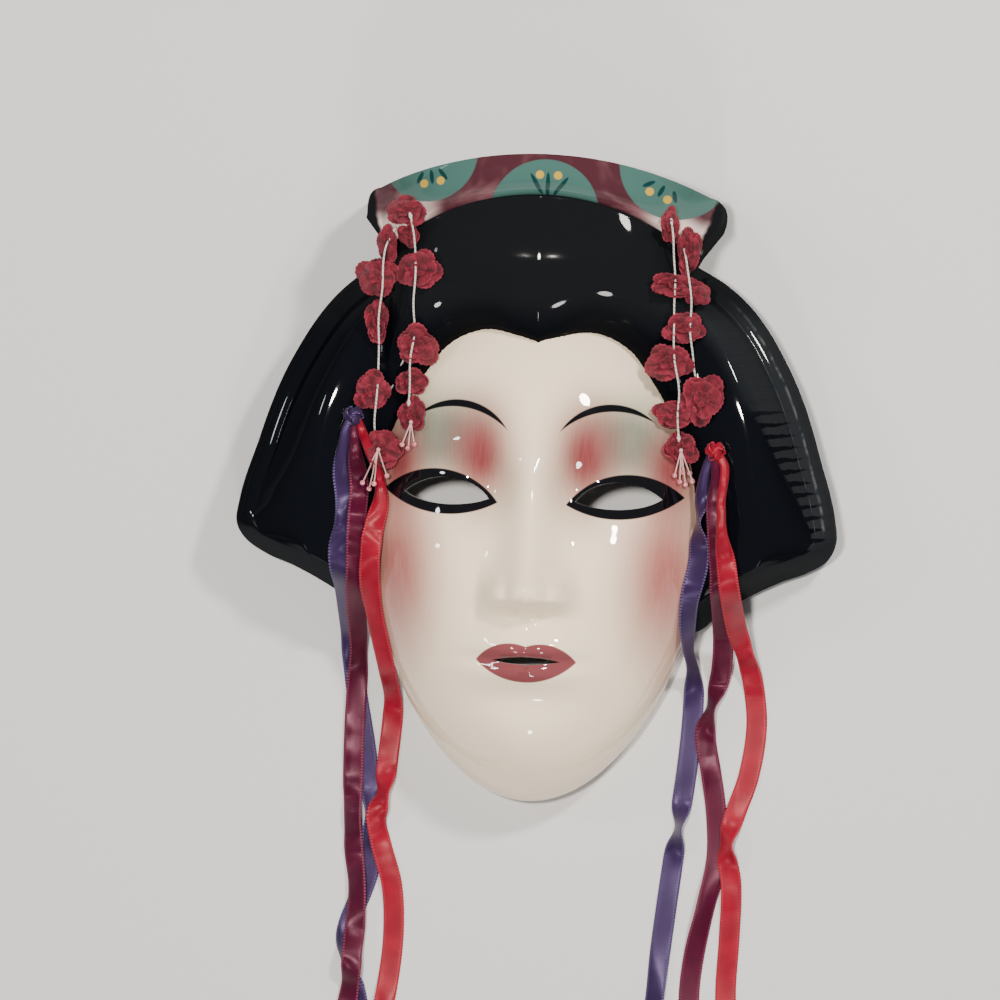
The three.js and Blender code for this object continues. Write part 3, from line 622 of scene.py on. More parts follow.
def inner_height(x, y):
    """Height of the hollow: the lowest, over places around, of the outer height less the ball of
    the wall's radius there."""
    lowest = head_height(x, y) - WALL
    for radius in (1.6, 3.0, 4.0, WALL):
        drop = math.sqrt(WALL**2 - radius**2)
        for turn in np.radians(np.arange(0, 360, 30)):
            near = x + radius * math.cos(turn), y + radius * math.sin(turn)
            angle, distance = polar(*near)
            height = np.where(distance < reach_of(angle), head_height(*near) - drop, np.inf)
            lowest = np.minimum(lowest, height)
    return np.maximum(lowest, 3)


def casting_points():
    """Outer rings from the middle to the outline and down its wall, then the hollow's rings from
    its foot up and inwards. The hollow has a third as many spokes."""
    turn = np.radians(180 - 360 * (np.arange(SPOKES) + 0.5) / SPOKES)
    angle = np.abs(np.degrees(turn))
    x, y = spoke_place(turn, ring_distances(angle))
    rows = np.stack([x, y, head_height(x, y)], axis=-1)
    wall = np.stack([rows[-1] * (1, 1, share) for share in (0.85, 0.5, 0.15, 0)])
    outer = np.concatenate([rows, wall])
    turn = turn[1::3]
    reach = reach_of(angle[1::3])
    change = np.gradient(np.r_[reach[-2:], reach, reach[:2]])[2:-2]
    slant = change / (2 * np.pi / INNER_SPOKES * reach)
    reach = reach - WALL * np.minimum(np.hypot(1, slant), 1.5)
    share = 1 - (1 - np.linspace(0.02, 1, INNER_RINGS)[::-1, None]) ** 1.4
    x, y = spoke_place(turn, reach * share)
    rows = np.stack([x, y, inner_height(x, y)], axis=-1)
    foot = np.stack([rows[0] * (1, 1, share) for share in (0, 0.5)])
    return outer, np.concatenate([foot, rows])


def casting_faces(outer_rows, inner_rows):
    """Faces of the outer rings, and those of the hollow with the flat rim, which joins three outer
    points to each inner one. The points of the two poles come last."""
    first_inner = outer_rows * SPOKES
    last_outer = first_inner - SPOKES
    pole = first_inner + inner_rows * INNER_SPOKES
    k = np.arange(INNER_SPOKES)
    here, after = first_inner + k, first_inner + (k + 1) % INNER_SPOKES
    o = [last_outer + (3 * k + step) % SPOKES for step in range(5)]
    rim = [*zip(o[1], o[2], here), *zip(o[2], after, here), *zip(o[2], o[3], after), *zip(o[3], o[4], after)]
    deep = pole - INNER_SPOKES + k
    outer = [*grid_faces(outer_rows, SPOKES), *fan_faces(np.arange(SPOKES), pole, turned=True)]
    return outer, [*rim, *grid_faces(inner_rows, INNER_SPOKES, first_inner), *fan_faces(deep, pole + 1)]


def bezier(start, first, second, end, count=26):
    """Points of a cubic curve, without the last one."""
    t = np.linspace(0, 1, count, endpoint=False)[:, None]
    start, first, second, end = map(np.array, (start, first, second, end))
    return (1 - t)**3 * start + 3 * t * (1 - t)**2 * first + 3 * t**2 * (1 - t) * second + t**3 * end


def eye_outline(side):
    """Almond of two cubic curves, its outer corner a little higher."""
    def at(along, up):
        return side * (EYE_OUT + along), EYE_LINE + up
    inner, outer = at(-EYE_HALF, -1.2), at(EYE_HALF, 0.6)
    upper = bezier(inner, at(-9, EYE_UP), at(6, EYE_UP + 1), outer)
    lower = bezier(outer, at(8, -EYE_LOW - 1), at(-7, -EYE_LOW - 1), inner)
    return np.vstack([upper, lower])


def mouth_outline():
    """Thin slit between two shallow curves."""
    left, right = (-SLIT_HALF, MOUTH_LINE), (SLIT_HALF, MOUTH_LINE)
    tall = SLIT_TALL * 2 / 3
    upper = bezier(left, (-4, MOUTH_LINE + tall), (4, MOUTH_LINE + tall), right)
    lower = bezier(right, (4, MOUTH_LINE - tall), (-4, MOUTH_LINE - tall), left)
    return np.vstack([upper, lower])


def hair_depth(x, y):
    """Millimetres that a place lies inside the black hair, below 0 on the face: measured along
    the spoke from the hairline, and across from the spoke under the wing."""
    angle, distance = polar(x, y)
    inward = (distance - through(LINE_REACH, angle)) * squareness(LINE_REACH, angle)
    across = np.radians(angle - JAW_ANGLE - 0.4) * distance
    return np.minimum(inward, across)


def cut_opening(piece, outline, chosen):
    """Cuts a closed outline of places through a piece. The cut takes its material of that number."""
    rings = np.stack([np.c_[outline, np.full(len(outline), height)] for height in (-20, 120)])
    tool = add_mesh("cutter", *closed_skin(rings), piece.data.materials, chosen)
    cut = piece.modifiers.new("cut", "BOOLEAN")
    cut.operation = "DIFFERENCE"
    cut.solver = "MANIFOLD"
    cut.object = tool
    graph = bpy.context.evaluated_depsgraph_get()
    made, whole = bpy.data.meshes.new_from_object(piece.evaluated_get(graph)), piece.data
    piece.modifiers.clear()
    piece.data = made
    bpy.data.meshes.remove(whole)
    bpy.data.objects.remove(tool)


def add_casting(painted, plain):
    """The ceramic shell: its two skins, with the openings cut through. Its attributes are the depth
    inside the hair, the way in from the edge, the normal's upward part and the headpiece's shares."""
    outer, inner = casting_points()
    outer_faces, inner_faces = casting_faces(len(outer), len(inner))
    poles = [outer[0].mean(axis=0), inner[-1].mean(axis=0)]
    skin = np.vstack([outer.reshape(-1, 3), inner.reshape(-1, 3), *poles]), outer_faces + inner_faces
    chosen = np.repeat([0, 1], [len(outer_faces), len(inner_faces)])
    shell = make_piece("shell", "mask_shell", "glazed_ceramic", skin, [painted, plain], chosen)
    for outline in (eye_outline(-1), eye_outline(1)[::-1], mouth_outline()[::-1]):
        cut_opening(shell, outline, 1)
    for place in KNOTS.values():
        cut_opening(shell, place + KNOT_HOLE * circle(32)[1], 0)
    mesh = shell.data
    mesh.set_sharp_from_angle(angle=math.radians(SHARP_ANGLE))
    at, normal = np.empty((2, len(mesh.vertices) * 3))
    mesh.vertices.foreach_get("co", at)
    mesh.vertices.foreach_get("normal", normal)
    x, y, _ = at.reshape(-1, 3).T * 1000
    angle, distance = polar(x, y)
    rim = (through(HAIR_REACH, angle) - distance) * squareness(HAIR_REACH, angle)
    share, past, over, _ = crown_place(x, y)
    add_attributes(mesh, hair=hair_depth(x, y), rim=rim, level=normal.reshape(-1, 3)[:, 2],
                   band_over=over, band_share=share + 0.12 * past)


# Materials

class Signal:
    """What comes out of a node. Arithmetic on it adds a math node to its tree."""

    def __init__(self, socket):
        self.socket = socket
        self.tree = socket.id_data

    def math(self, operation, *others):
        """One math node that this signal enters first."""
        return add_node(self.tree, "ShaderNodeMath", dict(enumerate([self, *others])), operation=operation)

    def scaled_onto(self, factor, base):
        """This signal times a factor, added to another."""
        return self.math("MULTIPLY_ADD", factor, base)

    def __mul__(self, other):
        return self.math("MULTIPLY", other)

    def __truediv__(self, other):
        return self.math("DIVIDE", other)

    def __sub__(self, other):
        return self.math("SUBTRACT", other)

    def __rsub__(self, other):
        return add_node(self.tree, "ShaderNodeMath", {0: other, 1: self}, operation="SUBTRACT")


def feed(node, inputs):
    """Gives each input of a node its signal or plain value."""
    for name, value in inputs.items():
        if isinstance(value, Signal):
            value.tree.links.new(value.socket, node.inputs[name])
        else:
            node.inputs[name].default_value = value


def add_node(tree, kind, inputs, output=0, **settings):
    """One output of a new node with these inputs and settings."""
    node = tree.nodes.new(kind)
    for name, value in settings.items():
        setattr(node, name, value)
    feed(node, inputs)
    return Signal(node.outputs[output])


def vector_math(operation, *values, output=0):
    """One vector math node."""
    inputs = dict(enumerate(values))
    return add_node(values[0].tree, "ShaderNodeVectorMath", inputs, output, operation=operation)


def spread(value, first, last, low=0.0, high=1.0, form="LINEAR"):
    """First at low, last at high, straight between them and no further."""
    inputs = {"Value": value, "From Min": low, "From Max": high, "To Min": first, "To Max": last}
    return add_node(value.tree, "ShaderNodeMapRange", inputs, interpolation_type=form)


def ramp(value, low, high):
    """0 at low and 1 at high, smooth between them."""
    return spread(value, 0.0, 1.0, low, high, "SMOOTHSTEP")


def blend(share, first, second):
    """Mix of two colours."""
    colours = [value if isinstance(value, Signal) else (*value, 1) for value in (first, second)]
    inputs = {0: share, 6: colours[0], 7: colours[1]}
    return add_node(share.tree, "ShaderNodeMix", inputs, 2, data_type="RGBA")


def noise(place, scale, detail=2.0, stretch=None, turn=0.0):
    """Soft noise, over a place that may be scaled along its axes and turned first."""
    if stretch:
        inputs = {"Vector": place, "Scale": stretch, "Rotation": (0, 0, turn)}
        place = add_node(place.tree, "ShaderNodeMapping", inputs)
    return add_node(place.tree, "ShaderNodeTexNoise", {"Vector": place, "Scale": scale, "Detail": detail})


def read_attribute(tree, name):
    """A piece's own attribute."""
    return add_node(tree, "ShaderNodeAttribute", {}, "Fac", attribute_name=name)


def millimetres(tree):
    """Object coordinates in millimetres."""
    place = add_node(tree, "ShaderNodeTexCoord", {}, "Object")
    return add_node(tree, "ShaderNodeVectorMath", {0: place, "Scale": 1000.0}, operation="SCALE")


def level_place(x, y):
    """A place at height 0."""
    return add_node(x.tree, "ShaderNodeCombineXYZ", {"X": x, "Y": y})


def normal_over(height, strength, distance):
    """The surface's normal, bent by a height."""
    inputs = {"Height": height, "Strength": strength, "Distance": distance}
    return add_node(height.tree, "ShaderNodeBump", inputs)


def new_material(name, **values):
    """A material whose Principled shader has these plain values, with its tree and that shader."""
    material = bpy.data.materials.new(name)
    material.use_nodes = True
    shader = material.node_tree.nodes["Principled BSDF"]
    feed(shader, {socket.replace("_", " "): value for socket, value in values.items()})
    return material, material.node_tree, shader


def new_group(name, output, inputs):
    """A node group with one output: the signals of its inputs, which are vectors where no plain
    value is given, and its end."""
    group = bpy.data.node_groups.new(name, "ShaderNodeTree")
    for socket, value in inputs.items():
        kind = "NodeSocketVector" if value is None else "NodeSocketFloat"
        made = group.interface.new_socket(socket, in_out="INPUT", socket_type=kind)
        if value is not None:
            made.default_value = value
    group.interface.new_socket(output, in_out="OUTPUT", socket_type="NodeSocketFloat")
    start = group.nodes.new("NodeGroupInput")
    return [Signal(start.outputs[socket]) for socket in inputs], group.nodes.new("NodeGroupOutput")


def use_group(name, inputs):
    """What a placed node group gives out."""
    return add_node(inputs["Place"].tree, "ShaderNodeGroup", inputs, node_tree=bpy.data.node_groups[name])


def make_disc_group():
    """Group: 1 inside a turned ellipse, 0 outside, with an edge of a given softness. The place's way
    from the centre is turned and divided by the half sizes, and its length compared with 1."""
    inputs = {"Place": None, "Centre": None, "Angle": 0.0, "Half size": None, "Softness": 0.05}
    (place, centre, angle, half, softness), end = new_group("soft disc", "Mask", inputs)
    turned = {"Vector": vector_math("SUBTRACT", place, centre), "Angle": angle}
    turned = add_node(place.tree, "ShaderNodeVectorRotate", turned, rotation_type="Z_AXIS")
    length = vector_math("LENGTH", vector_math("DIVIDE", turned, half), output="Value")
    feed(end, {"Mask": ramp(length, softness.math("ADD", 1.0), 1 - softness)})


def make_ripple_group():
    """Group: height of a poured glaze: broad slow swells and a fine orange peel."""
    inputs = {"Place": None, "Swell": 1.0, "Peel": 0.15}
    (place, swell, peel), end = new_group("glaze ripple", "Height", inputs)
    feed(end, {"Height": noise(place, 0.55, 1.0).scaled_onto(peel, noise(place, 0.05) * swell)})


def disc(place, centre, half, softness, angle=0.0):
    """1 inside an ellipse turned clockwise by some degrees, with a soft edge."""
    inputs = {"Place": place, "Centre": (*centre, 0), "Half size": (*half, 1000), "Softness": softness}
    return use_group("soft disc", {**inputs, "Angle": math.radians(-angle)})


def crisp_circle(place, centre, radius):
    """1 inside a circle, its edge a quarter of a millimetre soft to each side."""
    return disc(place, centre, (radius, radius), 0.25 / radius)


IVORY = (0.93, 0.77, 0.575)
BLACK = (0.0022, 0.0028, 0.0045)
# The front roll's lighter black: painted sheen over the black glaze
ROLL_SHEEN_BLACK = (0.0066, 0.0074, 0.0088)
# Painted reflection: slate grey on the black glaze where the wings reflect light
REFLECTION_SLATE = (0.0135, 0.0155, 0.018)
# Pale grey of the edge's turn: thin glaze and a painted highlight
EDGE_HIGHLIGHT_GREY = (0.11, 0.115, 0.12)
LINE_BLACK = (0.003, 0.003, 0.0045)
ROSE = (0.22, 0.042, 0.047)
CHEEK = (0.40, 0.13, 0.115)
GREEN = (0.075, 0.13, 0.098)
LIP_RED = (0.20, 0.052, 0.058)
TEAL = (0.048, 0.118, 0.103)
LEAF = (0.004, 0.035, 0.035)
YELLOW = (0.46, 0.30, 0.045)
MAUVE = (0.058, 0.016, 0.023)
# Paler streaks in the mauve: uneven paint and painted sheen
PALE_MAUVE_SHEEN = (0.17, 0.075, 0.085)
# White of the band's lower ends: a painted highlight
HIGHLIGHT_WHITE = (0.72, 0.56, 0.52)

# Brushed make-up, the same on both sides: middle, half sizes, softness, strength and pigment
MAKE_UP = [
    ((47, -32), (13, 29), 0.95, 1.0, CHEEK), ((33, 14.5), (15, 14), 0.75, 0.85, GREEN),
    ((18, 8), (10.5, 18), 0.9, 1.0, ROSE), ((48, 5), (9, 14), 0.9, 1.0, ROSE),
]
# Drawn make-up, each from two circles of centre and radius: lips and liner lie in both circles,
# the brow in the first without the second
LIPS = (((5.5, -72), 15.0), ((0, -46.4), 24.1))
LINER = (((33.9, -24.4), 27.2), ((29.35, 22.7), 35.7))
BROW = (((27, 6.2), 20.8), ((28.2, -2.9), 27.4))
# The headpiece's paint: circles, strokes of place, angle and half length, and small dots
SCALLOPS = [((-40.4, 112.6), 17.4), ((1.3, 92.3), 18.8), ((45.6, 110.9), 19.2)]
LEAVES = [
    (-1.8, 102.4, 32, 4.2), (2.1, 102.2, 2, 4.4), (6.6, 101.8, -36, 4.0),
    (-43.2, 103.6, -25, 2.3), (-39, 104, 10, 2.5), (-35, 105, 41, 2.5),
    (36.7, 104, -65, 2.3), (41, 101.7, -27, 2.2), (45.6, 99.9, 12, 2.1),
]
DOTS = [(-0.9, 105.7), (5.4, 105.6), (-41.6, 101.6), (-35.7, 102.7), (37.1, 101.3), (43.2, 98.8)]
LEAF_HALF = 0.75
DOT_RADIUS = 1.45


def make_up(place, mirrored):
    """Colour of the face: ivory, then soft discs of pigment with brush streaks, then the drawn lips,
    liner and brows."""
    brushed = ramp(noise(place, 1.0, 3.0, (1.5, 0.11, 0.2)), 0.25, 0.7).scaled_onto(0.05, 0.95)
    colour = IVORY
    for centre, half, softness, strength, pigment in MAKE_UP:
        colour = blend(disc(mirrored, centre, half, softness) * strength * brushed, colour, pigment)
    for shapes, pigment in ((LIPS, LIP_RED), (LINER, LINE_BLACK)):
        first, second = (crisp_circle(mirrored, *shape) for shape in shapes)
        colour = blend(first * second, colour, pigment)
    first, second = (crisp_circle(mirrored, *shape) for shape in BROW)
    return blend(first * (1 - second), colour, LINE_BLACK)


def comb_border(place, x, y, level):
    """The combed border of the hair, as shares of a painted slate reflection, of wedges and of the pale
    edge. The painted reflection narrows downwards on the right wing, and black wedges are cut into it
    from within, where a wave along the edge stands over a limit that rises outwards. The wings' under
    sides carry the painted slate reflection too.
    The edge is pale along its turn, where the glaze draws thin, with a painted highlight there too."""
    rim = read_attribute(place.tree, "rim")
    tip, broad = (spread(y, *widths, -25.0, 27.0) for widths in ((2.4, 6.0), (6.5, 17.5)))
    inward = (rim - tip) / (broad - tip)
    uneven = noise(place, 0.25)
    phase = uneven.scaled_onto(1.6, rim.scaled_onto(0.15, y))
    wave = (phase * (2 * math.pi / 4.1)).math("COSINE")
    wedge = ramp(wave - spread(inward, 1.05, 0.15), -0.12, 0.14) * ramp(y, -31, -27)
    dark = wedge.math("MAXIMUM", ramp(inward, 0.93, 1.07)) * (1 - ramp(y, 24, 31))
    right = ramp(x, 20, 40) * ramp(y, 66, 54)
    border = right * ramp(rim, 22, 13)
    foot = ramp(y, -16, -22)
    under = ramp(level, 0.62, 0.42) * foot
    # the painted slate reflection, left black in the wedges
    slate_reflection = (border * (1 - dark)).math("MAXIMUM", under)
    # pale edge line from a band of slope: thin glaze and a painted highlight
    thin_glaze_highlight = ramp(level, 0.79, 0.83) * ramp(level, 0.9, 0.86) * ramp(rim, 9.5, 8.0)
    thin_glaze_highlight = thin_glaze_highlight * foot.math("MAXIMUM", right) * ramp(uneven, 0.35, 0.6)
    return slate_reflection, wedge * (border * ramp(inward, 1.1, 0.9)), thin_glaze_highlight


def headpiece_paint(place, flat, over, share):
    """Colour of the headpiece: mauve in paler streaks, partly uneven paint and partly painted sheen, a
    painted highlight in white at its lower ends, and over it the teal half discs, the leaves and the
    yellow dots."""
    patches = noise(place, 1.0, stretch=(0.09, 0.035, 0.2), turn=-0.9)
    # mauve with paler streaks of uneven paint and painted sheen
    colour = blend(ramp(patches, 0.44, 0.78), MAUVE, PALE_MAUVE_SHEEN)
    # painted highlight in white at the band's lower ends
    colour = blend(ramp(share, 0.62, 0.86) * ramp(over, 0.62, 0.30), colour, HIGHLIGHT_WHITE)
    for centre, radius in SCALLOPS:
        colour = blend(crisp_circle(flat, centre, radius) * 0.98, colour, TEAL)
    for x, y, angle, half in LEAVES:
        colour = blend(disc(flat, (x, y), (LEAF_HALF, half), 0.12, angle), colour, LEAF)
    for centre in DOTS:
        colour = blend(disc(flat, centre, (DOT_RADIUS, DOT_RADIUS), 0.14), colour, YELLOW)
    return colour


def painted_glaze():
    """Ivory face with make-up, black hair up to the hairline, and the painted headpiece, all under
    one clear glaze, which is duller on steep hair, on the front roll and close to the hairline."""
    material, tree, shader = new_material(
        "painted glaze", Specular_IOR_Level=0.0, Coat_Roughness=0.035, Coat_IOR=1.5)
    place = millimetres(tree)
    parts = add_node(tree, "ShaderNodeSeparateXYZ", {0: place}).socket.node.outputs
    x, y, z = (Signal(part) for part in parts)
    flat, mirrored = level_place(x, y), level_place(x.math("ABSOLUTE"), y)
    depth, level = read_attribute(tree, "hair"), read_attribute(tree, "level")
    over, share = read_attribute(tree, "band_over"), read_attribute(tree, "band_share")

    hair = ramp(noise(place, 0.9).scaled_onto(0.7, depth), -0.1, 0.15)
    slate_reflection, wedge, thin_glaze_highlight = comb_border(place, x, y, level)
    # painted slate reflection over the black hair
    black = blend(slate_reflection, blend(ramp(y, 46, 66), BLACK, ROLL_SHEEN_BLACK), REFLECTION_SLATE)
    # pale edge line: thin glaze and a painted highlight
    black = blend(thin_glaze_highlight * 0.5, black, EDGE_HIGHLIGHT_GREY)
    wavy_end = noise(place, 0.12, 1.0).scaled_onto(0.05, share)
    band = ramp(over, -0.03, 0.0) * ramp(wavy_end, 1.085, 1.055) * ramp(z, 26.5, 28)
    colour = blend(hair, make_up(place, mirrored), black)
    colour = blend(band, colour, headpiece_paint(place, flat, over, share))

    steep_hair = ramp(level, 0.88, 0.6) * hair
    roughness = steep_hair.scaled_onto(0.36, spread(hair.math("MAXIMUM", band), 0.3, 0.09))
    coat = band.scaled_onto(0.4, spread(hair, 0.8, 0.34))
    coat = (ramp(y, 60, 74) - band).math("MAXIMUM", 0.0).scaled_onto(-0.22, coat)
    coat = (ramp(depth, 12, 5) * hair).scaled_onto(-0.2, coat)
    coat = steep_hair.scaled_onto(-0.34, coat).math("MAXIMUM", 0.03)

    height = use_group("glaze ripple", {"Place": place, "Swell": 0.5, "Peel": 0.03})
    height = (noise(place, 0.14) * hair).scaled_onto(0.5, wedge.scaled_onto(-0.45, height))
    combed = noise(flat, 1.0, stretch=(0.8, 0.22, 1)) * disc(flat, (10, 68), (20, 7), 0.6)
    normal = normal_over(combed.scaled_onto(0.35, height), 0.6, 0.001)
    feed(shader, {"Base Color": colour, "Roughness": roughness, "Coat Weight": coat, "Normal": normal})
    return material


def plain_glaze():
    """White glaze of the hollow, a little grey and uneven."""
    material, tree, shader = new_material("plain glaze", Roughness=0.32, IOR=1.5)
    place = millimetres(tree)
    colour = blend(ramp(noise(place, 0.04, 4.0), 0.35, 0.7), (0.78, 0.77, 0.73), (0.68, 0.66, 0.61))
    height = use_group("glaze ripple", {"Place": place, "Swell": 0.8, "Peel": 0.2})
    feed(shader, {"Base Color": colour, "Normal": normal_over(height, 0.5, 0.001)})
    return material


def satin(name, colour, edge, gleam):
    """Satin: fine lengthwise ribs, a matt woven border, and picot loops in the border's paler dye."""
    material, tree, shader = new_material(
        name, Anisotropic=0.5, Sheen_Weight=0.05, Sheen_Roughness=0.35, Specular_IOR_Level=0.5,
        Specular_Tint=(*gleam, 1))
    across, along = read_attribute(tree, "across"), read_attribute(tree, "along")
    border = ramp(across.math("ABSOLUTE"), 0.80, 0.87)
    dotted = border * ramp((along * (2 * math.pi / PICOT)).math("SINE"), -0.3, 0.6)
    patches = ramp(noise(millimetres(tree), 0.12, 3.0), 0.3, 0.7)
    base = blend(patches, colour, [part * 0.72 for part in colour])
    ribs = (across * (2 * math.pi * 10)).math("SINE")
    normal = normal_over(dotted.scaled_onto(2.0, ribs), 0.25, 0.0001)
    colour, roughness = blend(dotted, base, edge), spread(border, 0.3, 0.62)
    feed(shader, {"Base Color": colour, "Roughness": roughness, "Normal": normal})
    return material


def crimson_cloth():
    """Stiffened cloth: a fine plain weave, with painted shade towards the heart and in the creases,
    and paler and frayed along the pinked edge."""
    material, tree, shader = new_material(
        "crimson cloth", Roughness=0.78, Sheen_Weight=0.08, Sheen_Roughness=0.4, Sheen_Tint=(1, 0.35, 0.4, 1))
    place = millimetres(tree)
    uneven = noise(place, 0.6, 4.0)
    colour = blend(ramp(uneven, 0.3, 0.7), (0.115, 0.003, 0.012), (0.22, 0.007, 0.027))
    # painted shade in the ruffles' troughs and towards the heart
    painted_crease_shade = ramp(read_attribute(tree, "fold"), 0.55, 0.0) * 0.8
    colour = blend(painted_crease_shade, colour, (0.035, 0.0006, 0.004))
    frayed = ramp(read_attribute(tree, "reach"), 0.9, 1.0) * 0.35
    colour = blend(frayed, colour, (0.36, 0.03, 0.065))
    weave = {"Vector": place, "Scale": 1.6, "Distortion": 1.2}
    weave = add_node(tree, "ShaderNodeTexWave", weave, "Fac", bands_direction="DIAGONAL")
    feed(shader, {"Base Color": colour, "Normal": normal_over(uneven.scaled_onto(2.0, weave), 0.5, 0.0002)})
    return material


def twisted_thread(name, colour):
    """Two-ply cotton: a slanting twist by the length along the thread and the turn around it,
    with painted shade in the grooves between the plies.
    """
    material, tree, shader = new_material(name, Roughness=0.7, Sheen_Weight=0.3)
    along, turn = read_attribute(tree, "along"), read_attribute(tree, "turn")
    twist = along.scaled_onto(2 * math.pi / TWIST, turn).math("SINE")
    # painted shade in the grooves between the plies
    colour = blend(ramp(twist, -1.0, 0.4), [part * 0.6 for part in colour], colour)
    feed(shader, {"Base Color": colour, "Normal": normal_over(twist, 0.6, 0.0002)})
    return material


def pearl():
    """Pearly lacquer over pink: a soft change of colour by noise and a clear coat."""
    material, tree, shader = new_material("pearl bead", Roughness=0.25, Coat_Weight=0.6, Coat_Roughness=0.08)
    patches = ramp(noise(millimetres(tree), 0.8), 0.35, 0.65)
    feed(shader, {"Base Color": blend(patches, (0.45, 0.09, 0.13), (0.74, 0.34, 0.36))})
    return material


# Trim: each piece lies on what is below it

def smooth_path(stations, spacing):
    """Evenly spaced points of a smooth curve through stations of places, and their lengths along it."""
    table = np.array(stations, float)
    key = np.r_[0, np.cumsum(np.hypot(*np.diff(table, axis=0).T))]
    fine = np.linspace(0, key[-1], 4000)
    line = np.stack([through(np.c_[key, table], fine, column) for column in (1, 2)], axis=-1)
    along = np.r_[0, np.cumsum(np.hypot(*np.diff(line, axis=0).T))]
    even = np.linspace(0, along[-1], int(along[-1] / spacing) + 1)
    return np.stack([np.interp(even, along, line[:, k]) for k in range(2)], axis=-1), even


def unit(vectors):
    """Vectors of length one."""
    return vectors / np.linalg.norm(vectors, axis=-1, keepdims=True)


def aside_of(path):
    """Level direction to the left of a path's heading at each of its points."""
    heading = unit(np.gradient(path, axis=0))
    return np.stack([-heading[:, 1], heading[:, 0]], axis=-1)


def rounded_line(values, reach):
    """Running mean weighted by a bell of that reach in points, the ends held."""
    weight = bell(np.arange(-3 * reach, 3 * reach + 1) / reach)
    return np.convolve(np.pad(values, 3 * reach, mode="edge"), weight / weight.sum(), mode="valid")


def rounded_over(values, reach):
    """The same, lifted so that it stays over the values: what it falls short by is spread to its
    neighbours and rounded in turn."""
    rounded = rounded_line(values, reach)
    short = np.maximum(values - rounded, 0)
    wide = np.max([np.roll(short, k) for k in range(-reach, reach + 1)], axis=0)
    return rounded + rounded_line(wide, max(1, reach // 2))


def polar_reading(grid, across, up):
    """Values between the points of a grid of petal shares and turns, for places given as shares."""
    count = grid.shape[1]
    row = np.interp(np.hypot(across, up), PETAL_SHARES, np.arange(len(PETAL_SHARES)))
    column = np.arctan2(up, across) / (2 * np.pi) * count % count
    i, j = np.minimum(row.astype(int), len(PETAL_SHARES) - 2), column.astype(int) % count
    after, between = (j + 1) % count, column - np.floor(column)
    near, far = (mix(grid[k, j], grid[k, after], between) for k in (i, i + 1))
    return mix(near, far, row - i)


def height_below(x, y, laid, threaded=False):
    """The highest of the casting and of what is laid: ribbons as lines of points with a half width,
    and flowers as tilted ellipses. A thread passes behind the upper half of each flower."""
    height = surface_height(x, y)
    for kind, *facts in laid:
        if kind == "band":
            line, half = facts
            gap = np.hypot(x[..., None] - line[:, 0], y[..., None] - line[:, 1])
            near = gap.argmin(axis=-1)
            over = gap.min(axis=-1) < half
            height = np.where(over, np.maximum(height, line[near, 2]), height)
        else:
            place, half, base, slope, bent = facts
            across, up = (x - place[0]) / half[0], (y - place[1]) / half[1]
            share = np.hypot(across, up)
            top = base + slope[0] * (x - place[0]) + slope[1] * (y - place[1]) + 2.2 - 0.9 * share**2
            top = top + polar_reading(bent, across, up)
            over = (share < 1) & (y < place[1] + 0.6) if threaded else share < 1
            height = np.where(over, np.maximum(height, top), height)
    return height


def drape(path, along, aside, laid, falling, rising, threaded=False):
    """Height of a line beside a path: the highest of what is below it and of what is near it less a
    slope times the way there, one slope after a rise and one before it, then rounded."""
    rest = height_below(*(path + aside * aside_of(path)).T, laid, threaded)
    way = along[:, None] - along[None, :]
    eased = (rest[None, :] - np.where(way > 0, falling * way, -rising * way)).max(axis=1)
    return rounded_over(eased, 3)


